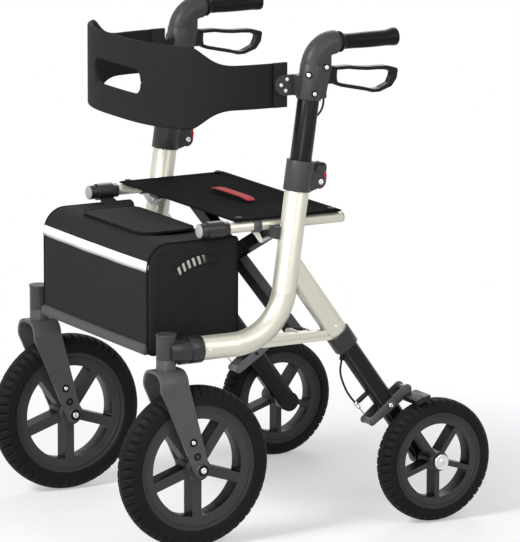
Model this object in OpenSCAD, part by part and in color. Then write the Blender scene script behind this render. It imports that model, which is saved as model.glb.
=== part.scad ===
// All terrain rollator: two side frames joined by a scissor of crossed bars.
// X runs across, +X is the user's left, +Y points to the rear, +Z is up, Z = 0 is the floor.

/* [Overall] */
// Distance between the planes of the two side frames
track_w = 504; // [470:1:580]
// Distance from the front axles to the rear axles
wheelbase = 485; // [470:1:540]
// Height of the grip axis above the floor
grip_h = 907; // [890:1:940]
// Height of the seat rail axis above the floor
seat_rail_h = 575; // [560:1:590]

/* [Wheels] */
// Outer diameter of the front tyres
front_wheel_d = 300; // [280:1:310]
// Width of the front tyres
front_tyre_w = 50; // [40:1:54]
// Outer diameter of the rear tyres
rear_wheel_d = 232; // [210:1:245]
// Width of the rear tyres
rear_tyre_w = 46; // [38:1:48]
// Distance of the rear wheel planes outboard of the side frames
rear_wheel_out = 44; // [43:1:60]
// Distance of the front axle behind the swivel axis
caster_trail = 55; // [40:1:70]
// Number of spokes in each wheel
spokes = 5; // [4:1:7]

/* [Side frame] */
// Outer diameter of the side tube
tube_d = 45; // [43:0.5:48]
// Radius of the bend in the side tube
bend_r = 105; // [90:1:115]
// Distance from the caster axis back to the foot of the post
post_setback = 232; // [225:1:245]
// Backward lean of the posts in degrees
post_lean = 8; // [6:0.5:10]
// Height at which the rear leg meets the post
leg_top_h = 511; // [500:1:530]
// Width of the upper rear leg in the plane of the side frame
leg_w = 42; // [38:1:46]
// Thickness of the upper rear leg
leg_t = 30; // [27:1:34]
// Visible length of the upper rear leg
leg_upper_len = 177; // [177:1:188]

/* [Handle] */
// Outer diameter of the sliding handle post
post_d = 40; // [36:0.5:40]
// Diameter of the grip
grip_d = 30; // [27:0.5:33]
// Length of the grip behind its flange
grip_len = 122; // [105:1:130]
// Squeeze travel of the brake lever in degrees
squeeze = 12; // [8:1:12]

/* [Seat] */
// Distance of the seat rails inboard of the side frames
rail_inset = 36; // [36:0.5:45]
// Outer diameter of the seat rails
rail_d = 20; // [16:0.5:20.5]
// Depth of the seat panel from front to rear
seat_depth = 229; // [200:1:235]
// Thickness of the seat panel
seat_t = 5; // [3:0.5:8]

/* [Bag] */
// Width of the bag
bag_w = 414; // [360:1:416]
// Depth of the bag
bag_depth = 190; // [150:1:195]
// Height of the bag
bag_h = 208; // [180:1:212]
// Wall of the bag
bag_wall = 4; // [3:0.5:6]

/* [Backrest] */
// Depth of the curve of the backrest band
band_depth = 227; // [190:1:240]
// Height of the band at its ends
band_end_h = 82; // [70:1:90]
// Height of the band at its middle
band_mid_h = 152; // [130:1:170]
// Thickness of the band
band_t = 6; // [5:0.5:8]
// Width of the hand window in the band
window_w = 180; // [120:1:190]
// Height of the hand window in the band
window_h = 45; // [35:1:60]

/* [Hidden] */
$fn = 48;
// Overrun of every cut
over = 1;
// Running clearance of pins in their bores, on the radius
run_gap = 0.05;
// Clearance between pieces that move past each other
free_gap = 0.3;
// Flanks of a round-ended bar lie this far inside its end circles
flank_step = 0.02;
// Clearance of fitted sleeves, on the radius
fit_gap = 0.1;

champagne = [0.86, 0.84, 0.76];
dark_grey = [0.27, 0.27, 0.27];
black = [0.13, 0.13, 0.13];
steel = [0.76, 0.76, 0.77];
rubber = [0.10, 0.10, 0.10];
cloth = [0.16, 0.16, 0.17];
red = [0.76, 0.25, 0.28];

// Wheels and caster
front_r = front_wheel_d / 2;
rear_r = rear_wheel_d / 2;
frame_x = track_w / 2;
rear_x = frame_x + rear_wheel_out;
front_axle_y = (front_r - rear_r - wheelbase) / 2;
rear_axle_y = front_axle_y + wheelbase;
head_y = front_axle_y - caster_trail;
tyre_h_front = 33;
tyre_h_rear = 24;
front_bead_r = front_r - tyre_h_front;
rear_bead_r = rear_r - tyre_h_rear;
rim_h_front = 26;
rim_h_rear = 22;
rim_lip = 4;
hub_d_front = 44;
hub_d_rear = 36;
hub_over = 2;
spoke_w_front = 19;
spoke_w_rear = 10;
spoke_deep = 0.66;
ring_deep = 0.72;
axle_d = 10;
stub_d = 12;
axle_head_d = 20;
axle_head_t = 5;
hub_cap_d = 29;

// Fork
arm_t = 6;
arm_gap = 5;
fork_half_w = front_tyre_w / 2 + arm_gap + arm_t;
tyre_clear = 6;
crown_h = 30;
crown_len = 56;
crown_round = 27;
arm_end_r = 15;
crown_under_z = front_wheel_d + tyre_clear;
crown_top_z = crown_under_z + crown_h;
stem_h = 19;
stem_d = 36;
steerer_d = 20;
head_d = 36;
head_h = 42;
head_cap_d = 38;
head_cap_h = 4;
head_roof = 6;
head_bottom_z = crown_top_z + stem_h;

// Side tube and post line
tube_rise = 12;
tube_wall = 2;
tube_z = head_bottom_z + tube_rise;
tube_front_y = head_y + head_d / 2 + over;
corner_y = head_y + post_setback;
bend_run = bend_r * tan((90 - post_lean) / 2);
// Straight runs enter a bend by this lap and are thinner by this step
bend_lap = 2;
bend_step = 0.2;
bend_start_y = corner_y - bend_run;
bend_end_z = tube_z + bend_run * cos(post_lean);
function post_y(z) = corner_y + (z - tube_z) * tan(post_lean);
collar_d = 51;
collar_len = 50;
collar_groove_w = 3;
collar_groove_depth = 1.5;
collar_front_len = 22;

// Height clamp
housing_drop = 101;
housing_z = grip_h - housing_drop;
clamp_z_share = 0.2814;
clamp_len_share = 0.2424;
clamp_z = seat_rail_h + clamp_z_share * (housing_z - seat_rail_h);
clamp_len = clamp_len_share * (housing_z - seat_rail_h);
clamp_d = 51;
tube_top_len = 0.54 * clamp_len;
clamp_pin_rise = 0.36 * clamp_len;
clamp_pin_d = 0.11 * clamp_len;
ear_t = 4;
ear_r = 0.18 * clamp_len;
clamp_lever_w = 18;
clamp_lever_len = 0.46 * clamp_len;
clamp_lever_r = 0.17 * clamp_len;
clamp_lever_root_r = 0.22 * clamp_len;
clamp_lever_clear = 2.2;
clamp_back = clamp_d / 2 + clamp_lever_root_r + clamp_lever_clear;
clamp_lever_tilt = 2;
tube_top_z = clamp_z + tube_top_len * cos(post_lean);
clamp_top_z = clamp_z + clamp_len * cos(post_lean);

// Rear leg: lengths run down the leg from its meeting point with the post
leg_top_y = post_y(leg_top_h);
leg_angle = atan2(rear_axle_y - leg_top_y, leg_top_h - rear_r);
leg_len = norm([rear_axle_y - leg_top_y, leg_top_h - rear_r]);
leg_wall = 1.8;
leg_round = 13;
low_w = leg_w - 2 * leg_wall - 2 * fit_gap;
low_t = leg_t - 2 * leg_wall - 2 * fit_gap;
low_round = leg_round - leg_wall;
low_wall = 2;
low_overlap = 50;
leg_collar_len = 35;
leg_collar_lap = 12;
leg_collar_wall = 3;
collar_clear = leg_collar_wall + free_gap;
brake_to_axle = 130;
spacer_d = 22;

// Leg brace and lower hinges of the crossed bars
brace_h = 19;
brace_t = 20;
groove_h = 4;
groove_depth = 2;
brace_drop = 1;
brace_z = tube_z - brace_drop;
rail_x = frame_x - rail_inset;
hinge_r = 11;
hinge_pin_d = 8;
hinge_root = 4;
bar_h = 24;
brace_from_y = bend_start_y + sqrt(pow(bend_r + tube_d / 2, 2) - pow(bend_r + brace_drop, 2));
brace_leg_y = leg_top_y + (leg_top_h - brace_z) * tan(leg_angle);
brace_span = brace_leg_y - leg_w / 2 / cos(leg_angle) - brace_from_y;
hinge_ear_t = 0.033 * brace_span;
bar_t = 0.183 * brace_span;
bar_spread = 0.108 * brace_span;
cross_y = brace_from_y + 0.535 * brace_span;
bar_a_y = cross_y + bar_spread;
bar_b_y = cross_y - bar_spread;
cross_rise = seat_rail_h - brace_z;
cross_angle = atan2(cross_rise, 2 * rail_x);
cross_len = norm([2 * rail_x, cross_rise]);
pivot_pin_d = 10;
pivot_boss_d = 22;
pivot_head_d = 20;
pivot_head_t = 5;

// Seat rails
rail_wall = 2;
rail_behind = 124;
rail_ahead = 169;
rail_rear_y = post_y(seat_rail_h) + rail_behind;
rail_front_y = post_y(seat_rail_h) - rail_ahead;
sleeve_d = 26;
sleeve_len = 58;
sleeve_cap = 4;
saddle_gap = 1.8;
saddle_len = 22;
saddle_wall = 4;
saddle_depth = 22;
seat_rear_gap = 3;
seat_over = 9;
seat_z = seat_rail_h + rail_d / 2 + free_gap;
strap_half = 72;
strap_rise = 8;
strap_w = 21;
strap_t = 3;
strap_setback = 16;
strap_y = post_y(seat_rail_h) + strap_setback;

// Bag
bag_ahead = 248;
bag_drop = 17;
bag_front_y = corner_y - bag_ahead;
bag_back_y = bag_front_y + bag_depth;
bag_top_z = seat_rail_h - bag_drop;
bag_round = 45;
bag_corner = 12;
loop_t = 2.5;
loop_len = 34;
loop_setback = 10;
loop_root = 50;
mouth_w = 240;
mouth_len = 104;
mouth_round = 12;
mouth_back = 44;
flap_lap = 7;
flap_round = 30;
flap_t = 4;

// Handle
post_wall = 2;
post_in_tube = 75;
post_in_housing = 32;
post_low_z = clamp_z - post_in_tube;
post_top_z = housing_z + post_in_housing;
housing_d = 46;
elbow_r = 46;
elbow_d = 44;
elbow_run = elbow_r * tan((90 - post_lean) / 2);
elbow_corner_y = post_y(grip_h);
elbow_end_y = elbow_corner_y + elbow_run;
flange_gap = 7.5;
grip_y = elbow_end_y + flange_gap;
neck_d = 34;
flange_d = 39;
flange_t = 5;
grip_end_d = 35;
grip_end_len = 12;
core_d = 22;
core_stop = 6;
pivot_back = 13;
pivot_drop = 42;
pivot_y = elbow_corner_y + pivot_back;
pivot_z = grip_h - pivot_drop;
lever_pin_d = 8;
lever_eye_r = 10;
lever_w = 16;
lever_bar_r = 3.2;
lever_end_r = 5.5;
lever_side_gap = 0.5;
lever_swing_gap = 1.5;
lever_len = 161;
lever_drop = 54;
lever_root_r = 14;
lever_root_share = [0.084, 0.352];
// Loop of the lever: shares of its length behind the pivot, of its drop below it, and of the swell of its bar
lever_shares = [
    [0.16, 0.10, 0], [0.33, 0.10, 0], [0.45, 0.155, 0], [0.58, 0.195, 0], [0.705, 0.20, 0], [0.83, 0.22, 0.2],
    [0.94, 0.345, 1], [0.927, 0.57, 1], [0.878, 0.805, 0.4], [0.732, 0.97, 0], [0.644, 0.97, 0],
    [0.555, 0.895, 0], [0.39, 0.79, 0], [0.23, 0.685, 0], [0.166, 0.605, 0], [0.153, 0.425, 0],
    [0.155, 0.25, 0], [0.16, 0.10, 0]
];
gusset_w = 36;
gusset_r = 10.5;
gusset_low_r = 9;
gusset_fore = 9.4;
gusset_up = 19;
cable_knob_d = 11;
cable_knob_h = 22;

// Backrest band: each half turns on its own end and on the middle
band_inset = 16;
band_ahead = 35;
band_tail = 28;
band_x = frame_x - band_inset;
band_end_y = post_y(housing_z) - band_ahead;
band_hinge_y = band_end_y - band_tail;
band_drop = 74;
band_z = grip_h - band_drop;
band_power = 3;
band_steps = 24;
flare_in_share = 0.80;
flare_out_share = 0.97;
flare_steps = 8;
band_gap = 0.3;
bracket_t = 6;
bracket_h = 38;
bracket_len = 46;

// Brake arm
brake_y = rear_axle_y - brake_to_axle * sin(leg_angle);
brake_z = rear_r + brake_to_axle * cos(leg_angle);
plate_t = 2.5;
plate_r = 10;
plate_front_r = 7;
arm_front = 48;
arm_rear = 44;
web_r = 6;
brake_pin_d = 6;
shoe_gap = 4;
shoe_t = 10;
shoe_from = 99;
shoe_to = 113;
shoe_over = 2;

// Cables: routes in the plane of the side frame, behind and above the floor origin
cable_d = 4;
wire_d = 2;
wire_len = 20;
cable_sides = 8;
barrel_d = 8;
barrel_len = 16;
gland_d = 9;
// Upper loop: shares of its reach behind the post and of its drop below the housing
lever_loop_back = 31.8;
lever_loop_drop = 0.33 * (housing_z - clamp_top_z);
lever_route_shares = [
    [1, 0], [0.99, 0.2], [0.94, 0.42], [0.83, 0.63], [0.66, 0.8], [0.45, 0.94], [0.28, 1]
];
lever_route = [
    for (p = lever_route_shares) [post_y(housing_z) + p[0] * lever_loop_back, housing_z - p[1] * lever_loop_drop]
];
// Lower loop: shares of its length down the leg and of its bow off the leg
cable_lead = 15;
stop_to_axle = 176.7;
brace_on_leg = (leg_top_h - brace_z + brace_h / 2) / cos(leg_angle);
cable_from = max(leg_upper_len + leg_collar_len, brace_on_leg) + cable_lead;
cable_to = leg_len - stop_to_axle;
cable_bow = 30.6;
leg_route_shares = [
    [0, 0.14], [0.06, 0.31], [0.16, 0.57], [0.3, 0.77], [0.47, 0.9], [0.65, 0.99], [0.83, 1], [1, 0.97]
];
function leg_at(s, out) = [
    leg_top_y + s * sin(leg_angle) - out * cos(leg_angle),
    leg_top_h - s * cos(leg_angle) - out * sin(leg_angle)
];
leg_route = [
    for (p = leg_route_shares) leg_at(cable_from + p[0] * (cable_to - cable_from), low_w / 2 + p[1] * cable_bow)
];

// Places the children of a drawing in (Y, Z) into the plane X = x, thickness along X
module side_plane(x) translate([x, 0, 0]) rotate([90, 0, 90]) children();

// Local Z runs up the post from height z
module on_post(z) translate([frame_x, post_y(z), z]) rotate([-post_lean, 0, 0]) children();

// Local Z runs down the rear leg, local Y to its front face
module on_leg(s) {
    translate([frame_x, leg_top_y, leg_top_h]) rotate([180 + leg_angle, 0, 0]) translate([0, 0, s]) children();
}

module rounded_rect(w, h, r) {
    square([w - 2 * r, h], center = true);
    square([w, h - 2 * r], center = true);
    for (sx = [-1, 1], sy = [-1, 1]) translate([sx * (w / 2 - r), sy * (h / 2 - r)]) circle(r = r);
}

// Flat bar with round ends of two radii
module tapered_bar(p, pr, q, qr) {
    d = norm(q - p);
    a = atan2(q[1] - p[1], q[0] - p[0]);
    t = acos((pr - qr) / d);
    translate(p) circle(r = pr);
    translate(q) circle(r = qr);
    up = [cos(a + t), sin(a + t)];
    low = [cos(a - t), sin(a - t)];
    pi = pr - flank_step;
    qi = qr - flank_step;
    polygon([p + pi * up, p + pi * low, q + qi * low, q + qi * up]);
}

// Round tube swept along points in a side plane
module swept(route, d, x) {
    last = len(route) - 1;
    heading = [for (i = [0 : last]) route[min(i + 1, last)] - route[max(i - 1, 0)]];
    rings = [
        for (i = [0 : last], k = [0 : cable_sides - 1])
            let (u = heading[i] / norm(heading[i]), c = d / 2 * cos(360 * k / cable_sides),
                 s = d / 2 * sin(360 * k / cable_sides))
                [x + c, route[i][0] - s * u[1], route[i][1] + s * u[0]]
    ];
    sides = [
        for (i = [0 : last - 1], k = [0 : cable_sides - 1])
            let (n = (k + 1) % cable_sides, a = i * cable_sides, b = a + cable_sides)
                [a + n, b + n, b + k, a + k]
    ];
    ends = [
        [for (k = [cable_sides - 1 : -1 : 0]) k],
        [for (k = [0 : cable_sides - 1]) last * cable_sides + k]
    ];
    polyhedron(points = rings, faces = concat(sides, ends));
}

// Cylinder along X centred in the plane x
module cross_pin(x, y, z, d, h) translate([x - h / 2, y, z]) rotate([0, 90, 0]) cylinder(d = d, h = h);

// Cylinder along Y from y
module long_pin(x, y, z, d, h) translate([x, y, z]) rotate([-90, 0, 0]) cylinder(d = d, h = h);

module side_tube_body(d, extra) {
    long_pin(frame_x, tube_front_y - extra, tube_z, d - bend_step,
        bend_start_y - tube_front_y + extra + bend_lap);
    side_plane(frame_x) translate([bend_start_y, tube_z + bend_r]) rotate([0, 0, -90])
        rotate_extrude(angle = 90 - post_lean) translate([bend_r, 0]) circle(d = d);
    on_post(bend_end_z) translate([0, 0, -bend_lap])
        cylinder(d = d - bend_step, h = (tube_top_z - bend_end_z) / cos(post_lean) + extra + bend_lap);
}

module side_tube() color(champagne) difference() {
    side_tube_body(tube_d, 0);
    side_tube_body(tube_d - 2 * tube_wall, over);
}

module leg_body(w, t, r, from, to) on_leg(from) linear_extrude(to - from) rounded_rect(t, w, r);

module rear_leg() color(champagne) difference() {
    leg_body(leg_w, leg_t, leg_round, 0, leg_upper_len + leg_collar_lap);
    leg_body(leg_w - 2 * leg_wall, leg_t - 2 * leg_wall, low_round, -over, leg_upper_len + leg_collar_lap + over);
    side_tube_body(tube_d, 0);
}

module leg_brace(bar_y) color(champagne) {
    difference() {
        translate([frame_x - brace_t / 2, bend_start_y + bend_r / 2, brace_z - brace_h / 2])
            cube([brace_t, brace_leg_y - bend_start_y - bend_r / 2, brace_h]);
        for (s = [-1, 1])
            translate([frame_x + s * brace_t / 2 - groove_depth, bend_start_y, brace_z - groove_h / 2])
                cube([2 * groove_depth, wheelbase, groove_h]);
        side_tube_body(tube_d, 0);
        leg_body(leg_w, leg_t, leg_round, -leg_w, leg_len);
        leg_body(leg_w + 2 * collar_clear, leg_t + 2 * collar_clear, leg_round + collar_clear,
            leg_upper_len - free_gap, leg_len);
    }
    ear_y = bar_t / 2 + free_gap;
    for (y = [bar_y - ear_y - hinge_ear_t, bar_y + ear_y])
        translate([0, y + hinge_ear_t, 0]) rotate([90, 0, 0]) linear_extrude(hinge_ear_t)
            tapered_bar([rail_x, brace_z], hinge_r, [frame_x - brace_t / 2 + hinge_root, brace_z], hinge_r);
    long_pin(rail_x, bar_y - ear_y - 2 * hinge_ear_t, brace_z, hinge_pin_d, 2 * ear_y + 4 * hinge_ear_t);
}

module leg_collar() color(black) difference() {
    leg_body(leg_w + 2 * leg_collar_wall, leg_t + 2 * leg_collar_wall, leg_round + leg_collar_wall,
        leg_upper_len, leg_upper_len + leg_collar_len);
    leg_body(leg_w + 2 * fit_gap, leg_t + 2 * fit_gap, leg_round, -over, leg_upper_len + leg_collar_lap + fit_gap);
    leg_body(low_w + 2 * fit_gap, low_t + 2 * fit_gap, low_round, 0, leg_len);
}

module lower_leg() color(black) {
    difference() {
        union() {
            leg_body(low_w, low_t, low_round, leg_upper_len - low_overlap, leg_len);
            cross_pin(frame_x, rear_axle_y, rear_r, low_w, low_t);
        }
        leg_body(low_w - 2 * low_wall, low_t - 2 * low_wall, low_round - low_wall,
            leg_upper_len - low_overlap - over, leg_len - brake_to_axle - low_w);
    }
    out_x = frame_x + low_t / 2;
    axle_end = rear_x + rear_tyre_w / 2 + hub_over;
    cross_pin((out_x + rear_x) / 2, rear_axle_y, rear_r, stub_d, rear_x - out_x + rear_tyre_w);
    translate([out_x - over, rear_axle_y, rear_r]) rotate([0, 90, 0])
        cylinder(d = spacer_d, h = rear_x - rear_tyre_w / 2 - hub_over - free_gap - out_x + over);
    translate([frame_x, rear_axle_y, rear_r]) rotate([0, 90, 0])
        cylinder(d = stub_d, h = axle_end + free_gap + over - frame_x);
    translate([axle_end + free_gap, rear_axle_y, rear_r]) rotate([0, 90, 0])
        cylinder(d = hub_cap_d, h = axle_head_t);
    cross_pin(frame_x, brake_y, brake_z, brake_pin_d, low_t + 2 * (plate_t + free_gap + plate_t));
    cable_stop();
    gland();
}

// Bracket that holds the end of the cable sheath off the leg
module cable_stop() {
    bow = leg_route_shares[len(leg_route_shares) - 1][1] * cable_bow;
    on_leg(cable_to) translate([-plate_r / 2, low_w / 2 - low_wall, 0])
        cube([plate_r, low_wall + bow - barrel_d / 2 - 2 * free_gap, 2 * plate_t]);
}

// Socket on the leg from which the cable comes
module gland() {
    u = (leg_route[0] - leg_route[1]) / norm(leg_route[0] - leg_route[1]);
    translate([frame_x, leg_route[0][0], leg_route[0][1]])
        rotate([-atan2(u[0], u[1]), 0, 0]) cylinder(d = gland_d, h = low_w / 2);
}

module front_collar() color(black) difference() {
    r = collar_d / 2;
    groove_r = r - collar_groove_depth;
    groove_from = head_d / 2 + collar_front_len;
    groove_to = groove_from + collar_groove_w;
    back = head_d / 2 + collar_len;
    translate([frame_x, head_y, tube_z]) rotate([-90, 0, 0]) rotate_extrude() polygon([
        [0, 0], [r, 0], [r, groove_from], [groove_r, groove_from], [groove_r, groove_to], [r, groove_to],
        [r, back], [0, back]
    ]);
    long_pin(frame_x, tube_front_y - fit_gap, tube_z, tube_d + 2 * fit_gap, back);
    translate([frame_x, head_y, head_bottom_z - head_h]) cylinder(d = head_d, h = 3 * head_h);
    translate([frame_x, head_y, head_bottom_z - head_h]) cylinder(d = head_d + 2 * arm_t, h = head_h + over);
}

module head_tube() color(dark_grey) translate([frame_x, head_y, head_bottom_z]) difference() {
    union() {
        cylinder(d = head_d, h = head_h);
        translate([0, 0, head_h]) cylinder(d = head_cap_d, h = head_cap_h);
    }
    translate([0, 0, -over]) cylinder(d = steerer_d + 2 * run_gap, h = head_h - head_roof + over);
}

module height_clamp() color(dark_grey) {
    difference() {
        union() {
            on_post(clamp_z) cylinder(d = clamp_d, h = clamp_len);
            on_post(clamp_z) for (s = [-1, 1])
                translate([s * (clamp_lever_w / 2 + free_gap + ear_t / 2) - ear_t / 2, 0, clamp_pin_rise])
                    rotate([90, 0, 90]) linear_extrude(ear_t)
                        tapered_bar([clamp_d / 2 - ear_r, 0], ear_r * 2, [clamp_back, 0], ear_r);
        }
        on_post(clamp_z - over) cylinder(d = tube_d + 2 * fit_gap, h = tube_top_len + over + fit_gap);
        on_post(clamp_z) cylinder(d = post_d + 2 * free_gap, h = clamp_len + over);
    }
    on_post(clamp_z) translate([-clamp_lever_w / 2 - free_gap - ear_t, clamp_back, clamp_pin_rise])
        rotate([0, 90, 0]) cylinder(d = clamp_pin_d, h = clamp_lever_w + 2 * free_gap + 2 * ear_t);
}

module clamp_lever() color(black) on_post(clamp_z)
    translate([-clamp_lever_w / 2, clamp_back, clamp_pin_rise]) rotate([90, 0, 90]) difference() {
        linear_extrude(clamp_lever_w)
            tapered_bar([0, 0], clamp_lever_root_r, [clamp_lever_tilt, clamp_lever_len], clamp_lever_r);
        translate([0, 0, -over]) cylinder(d = clamp_pin_d + 2 * run_gap, h = clamp_lever_w + 2 * over);
    }

module rail_saddle() color(dark_grey) difference() {
    inner_x = rail_x - rail_d / 2 - saddle_wall;
    y = bar_b_y - bar_t / 2 - saddle_gap - saddle_len;
    union() {
        translate([inner_x, y, seat_rail_h - saddle_depth]) cube([frame_x - inner_x, saddle_len, saddle_depth]);
        translate([rail_x + rail_d / 2 + saddle_wall, y, seat_rail_h - saddle_depth])
            cube([rail_inset - rail_d / 2 - saddle_wall, post_y(seat_rail_h) - y, saddle_depth]);
    }
    long_pin(rail_x, y - over, seat_rail_h, rail_d + 2 * free_gap, saddle_len + 2 * over);
    side_tube_body(tube_d, 0);
}

module leg_cable() color(black) {
    last = len(leg_route) - 1;
    u = (leg_route[last] - leg_route[last - 1]) / norm(leg_route[last] - leg_route[last - 1]);
    swept(leg_route, cable_d, frame_x);
    translate([frame_x, leg_route[last][0], leg_route[last][1]]) rotate([-atan2(u[0], u[1]), 0, 0]) {
        translate([0, 0, -over]) cylinder(d = barrel_d, h = barrel_len + over);
        cylinder(d = wire_d, h = barrel_len + wire_len);
    }
}

module lever_cable() color(black) swept(lever_route, cable_d, frame_x);

// Front of the fork strap: a deep U turned over
module fork_front() difference() {
    drop = crown_top_z - front_r + crown_len;
    translate([0, crown_top_z - drop / 2]) rounded_rect(2 * fork_half_w, drop, crown_round);
    translate([0, crown_top_z - arm_t - drop / 2])
        rounded_rect(2 * (fork_half_w - arm_t), drop, crown_round - arm_t);
}

// Side of the fork strap: as wide as the crown at the top, narrow at the axle
module fork_side() {
    r = crown_len / 2;
    tapered_bar([head_y, crown_top_z - r], r, [front_axle_y, front_r], arm_end_r);
    translate([head_y - r + flank_step, crown_top_z - r]) square([2 * (r - flank_step), r + over]);
}

module fork() color(dark_grey) {
    difference() {
        union() {
            intersection() {
                translate([frame_x, front_axle_y + crown_len, 0]) rotate([90, 0, 0])
                    linear_extrude(caster_trail + 2 * crown_len) fork_front();
                side_plane(frame_x - fork_half_w - over) linear_extrude(2 * fork_half_w + 2 * over) fork_side();
            }
            translate([frame_x, head_y, crown_top_z - over]) cylinder(d = stem_d, h = stem_h + over - free_gap);
        }
        cross_pin(frame_x, front_axle_y, front_r, axle_d, 2 * fork_half_w + 2 * over);
    }
    translate([frame_x, head_y, crown_top_z]) cylinder(d = steerer_d, h = stem_h + head_h - head_roof - over);
}

module front_axle() color(steel) {
    cross_pin(frame_x, front_axle_y, front_r, axle_d, 2 * fork_half_w);
    for (s = [-1, 1])
        cross_pin(frame_x + s * (fork_half_w + axle_head_t / 2), front_axle_y, front_r, axle_head_d, axle_head_t);
}

// Tyre section: a crown arc cut to the width of the tyre
module tyre(x, y, r, w, h) translate([x, y, r]) rotate([0, 90, 0]) rotate_extrude() intersection() {
    translate([r - h, -w / 2]) square([h, w]);
    translate([r - h, 0]) circle(r = h);
}

module rim(x, y, r, bead_r, w, h, hub_d, bore, spoke_w) translate([x, y, r]) rotate([0, 90, 0]) difference() {
    spoke_t = spoke_deep * w;
    ring_t = ring_deep * w;
    union() {
        rotate_extrude() {
            translate([bead_r - h, -ring_t / 2]) square([h, ring_t]);
            translate([bead_r - rim_lip, -w / 2 + rim_lip]) square([rim_lip, w - 2 * rim_lip]);
        }
        cylinder(d = hub_d, h = w + 2 * hub_over, center = true);
        for (i = [0 : spokes - 1]) rotate([0, 0, 360 * i / spokes])
            translate([0, -spoke_w / 2, -spoke_t / 2]) cube([bead_r - h + rim_lip, spoke_w, spoke_t]);
    }
    cylinder(d = bore + 2 * run_gap, h = w + 4 * hub_over, center = true);
}

module front_tyre() color(rubber) tyre(frame_x, front_axle_y, front_r, front_tyre_w, tyre_h_front);
module rear_tyre() color(rubber) tyre(rear_x, rear_axle_y, rear_r, rear_tyre_w, tyre_h_rear);
module front_rim() color(black) rim(frame_x, front_axle_y, front_r, front_bead_r, front_tyre_w,
    rim_h_front, hub_d_front, axle_d, spoke_w_front);
module rear_rim() color(black) rim(rear_x, rear_axle_y, rear_r, rear_bead_r, rear_tyre_w,
    rim_h_rear, hub_d_rear, stub_d, spoke_w_rear);

module brake_arm() color(dark_grey) {
    u = [cos(leg_angle), sin(leg_angle)];
    front = [brake_y, brake_z] - arm_front * u;
    rear = [brake_y, brake_z] + arm_rear * u;
    side = low_t / 2 + free_gap;
    difference() {
        union() {
            for (x = [-side - plate_t, side]) side_plane(frame_x + x) linear_extrude(plate_t) {
                tapered_bar([brake_y, brake_z], plate_r, front, plate_front_r);
                tapered_bar([brake_y, brake_z], plate_r, rear, plate_r);
            }
            for (p = [front, rear]) side_plane(frame_x - side) linear_extrude(2 * side) translate(p)
                circle(r = web_r);
        }
        cross_pin(frame_x, brake_y, brake_z, brake_pin_d + 2 * run_gap, track_w);
    }
    translate([frame_x + side, rear_axle_y, rear_r]) rotate([90, 0, 90]) rotate([0, 0, shoe_from])
        rotate_extrude(angle = shoe_to - shoe_from) translate([rear_r + shoe_gap, 0])
            square([shoe_t, rear_x + rear_tyre_w / 2 - shoe_over - frame_x - side]);
}

module handle_post() color(black) difference() {
    on_post(post_low_z) cylinder(d = post_d, h = (post_top_z - post_low_z) / cos(post_lean));
    on_post(post_low_z - over) cylinder(d = post_d - 2 * post_wall,
        h = (post_top_z - post_low_z) / cos(post_lean) + 2 * over / cos(post_lean));
    cable_entry();
}

// Hole through which the brake cable enters the post
module cable_entry() {
    last = len(lever_route) - 1;
    u = (lever_route[last] - lever_route[last - 2]) / norm(lever_route[last] - lever_route[last - 2]);
    translate([frame_x, lever_route[last][0], lever_route[last][1]]) rotate([-atan2(u[0], u[1]), 0, 0])
        translate([0, 0, -post_d / 2]) cylinder(d = cable_d + 4 * free_gap, h = post_d / 2);
}

// Point of the lever in the side plane
function lever_at(p) = [pivot_y + lever_len * p[0], pivot_z - lever_drop * p[1]];
function lever_r(p) = lever_bar_r + (lever_end_r - lever_bar_r) * p[2];

// Root of the lever between the cheeks of the housing
module lever_root(extra) {
    tapered_bar([pivot_y, pivot_z], lever_eye_r + extra, lever_at(lever_root_share), lever_root_r + extra);
}

module brake_lever() color(black) difference() {
    side_plane(frame_x - lever_w / 2) linear_extrude(lever_w) {
        lever_root(0);
        for (i = [0 : len(lever_shares) - 2])
            tapered_bar(lever_at(lever_shares[i]), lever_r(lever_shares[i]),
                lever_at(lever_shares[i + 1]), lever_r(lever_shares[i + 1]));
    }
    cross_pin(frame_x, pivot_y, pivot_z, lever_pin_d + 2 * run_gap, 2 * lever_w);
}

module handle_housing() color(dark_grey) {
    difference() {
        union() {
            on_post(housing_z) cylinder(d = housing_d - bend_step,
                h = (grip_h - housing_z) / cos(post_lean) - elbow_run + bend_lap);
            side_plane(frame_x) translate([elbow_end_y, grip_h - elbow_r]) rotate([0, 0, 90])
                rotate_extrude(angle = 90 - post_lean) translate([elbow_r, 0]) circle(d = elbow_d);
            long_pin(frame_x, elbow_end_y, grip_h, neck_d, flange_gap);
            side_plane(frame_x - gusset_w / 2) linear_extrude(gusset_w) {
                tapered_bar([pivot_y, pivot_z], gusset_r,
                    [pivot_y - gusset_fore, housing_z + gusset_r], gusset_low_r);
                tapered_bar([pivot_y, pivot_z], gusset_r, [pivot_y, pivot_z + gusset_up], gusset_r);
            }
        }
        on_post(housing_z - over) cylinder(d = post_d + 2 * fit_gap,
            h = (post_top_z - housing_z + over) / cos(post_lean) + fit_gap);
        side_plane(frame_x - lever_w / 2 - lever_side_gap) linear_extrude(lever_w + 2 * lever_side_gap)
            for (a = [0, squeeze / 2, squeeze]) translate([pivot_y, pivot_z]) rotate(a)
                translate([-pivot_y, -pivot_z]) lever_root(lever_swing_gap);
    }
    cross_pin(frame_x, pivot_y, pivot_z, lever_pin_d, gusset_w);
    long_pin(frame_x, grip_y - flange_gap, grip_h, core_d, grip_len + flange_gap - core_stop);
    translate([frame_x, lever_route[0][0], lever_route[0][1]]) cylinder(d = cable_knob_d, h = cable_knob_h);
}

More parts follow.
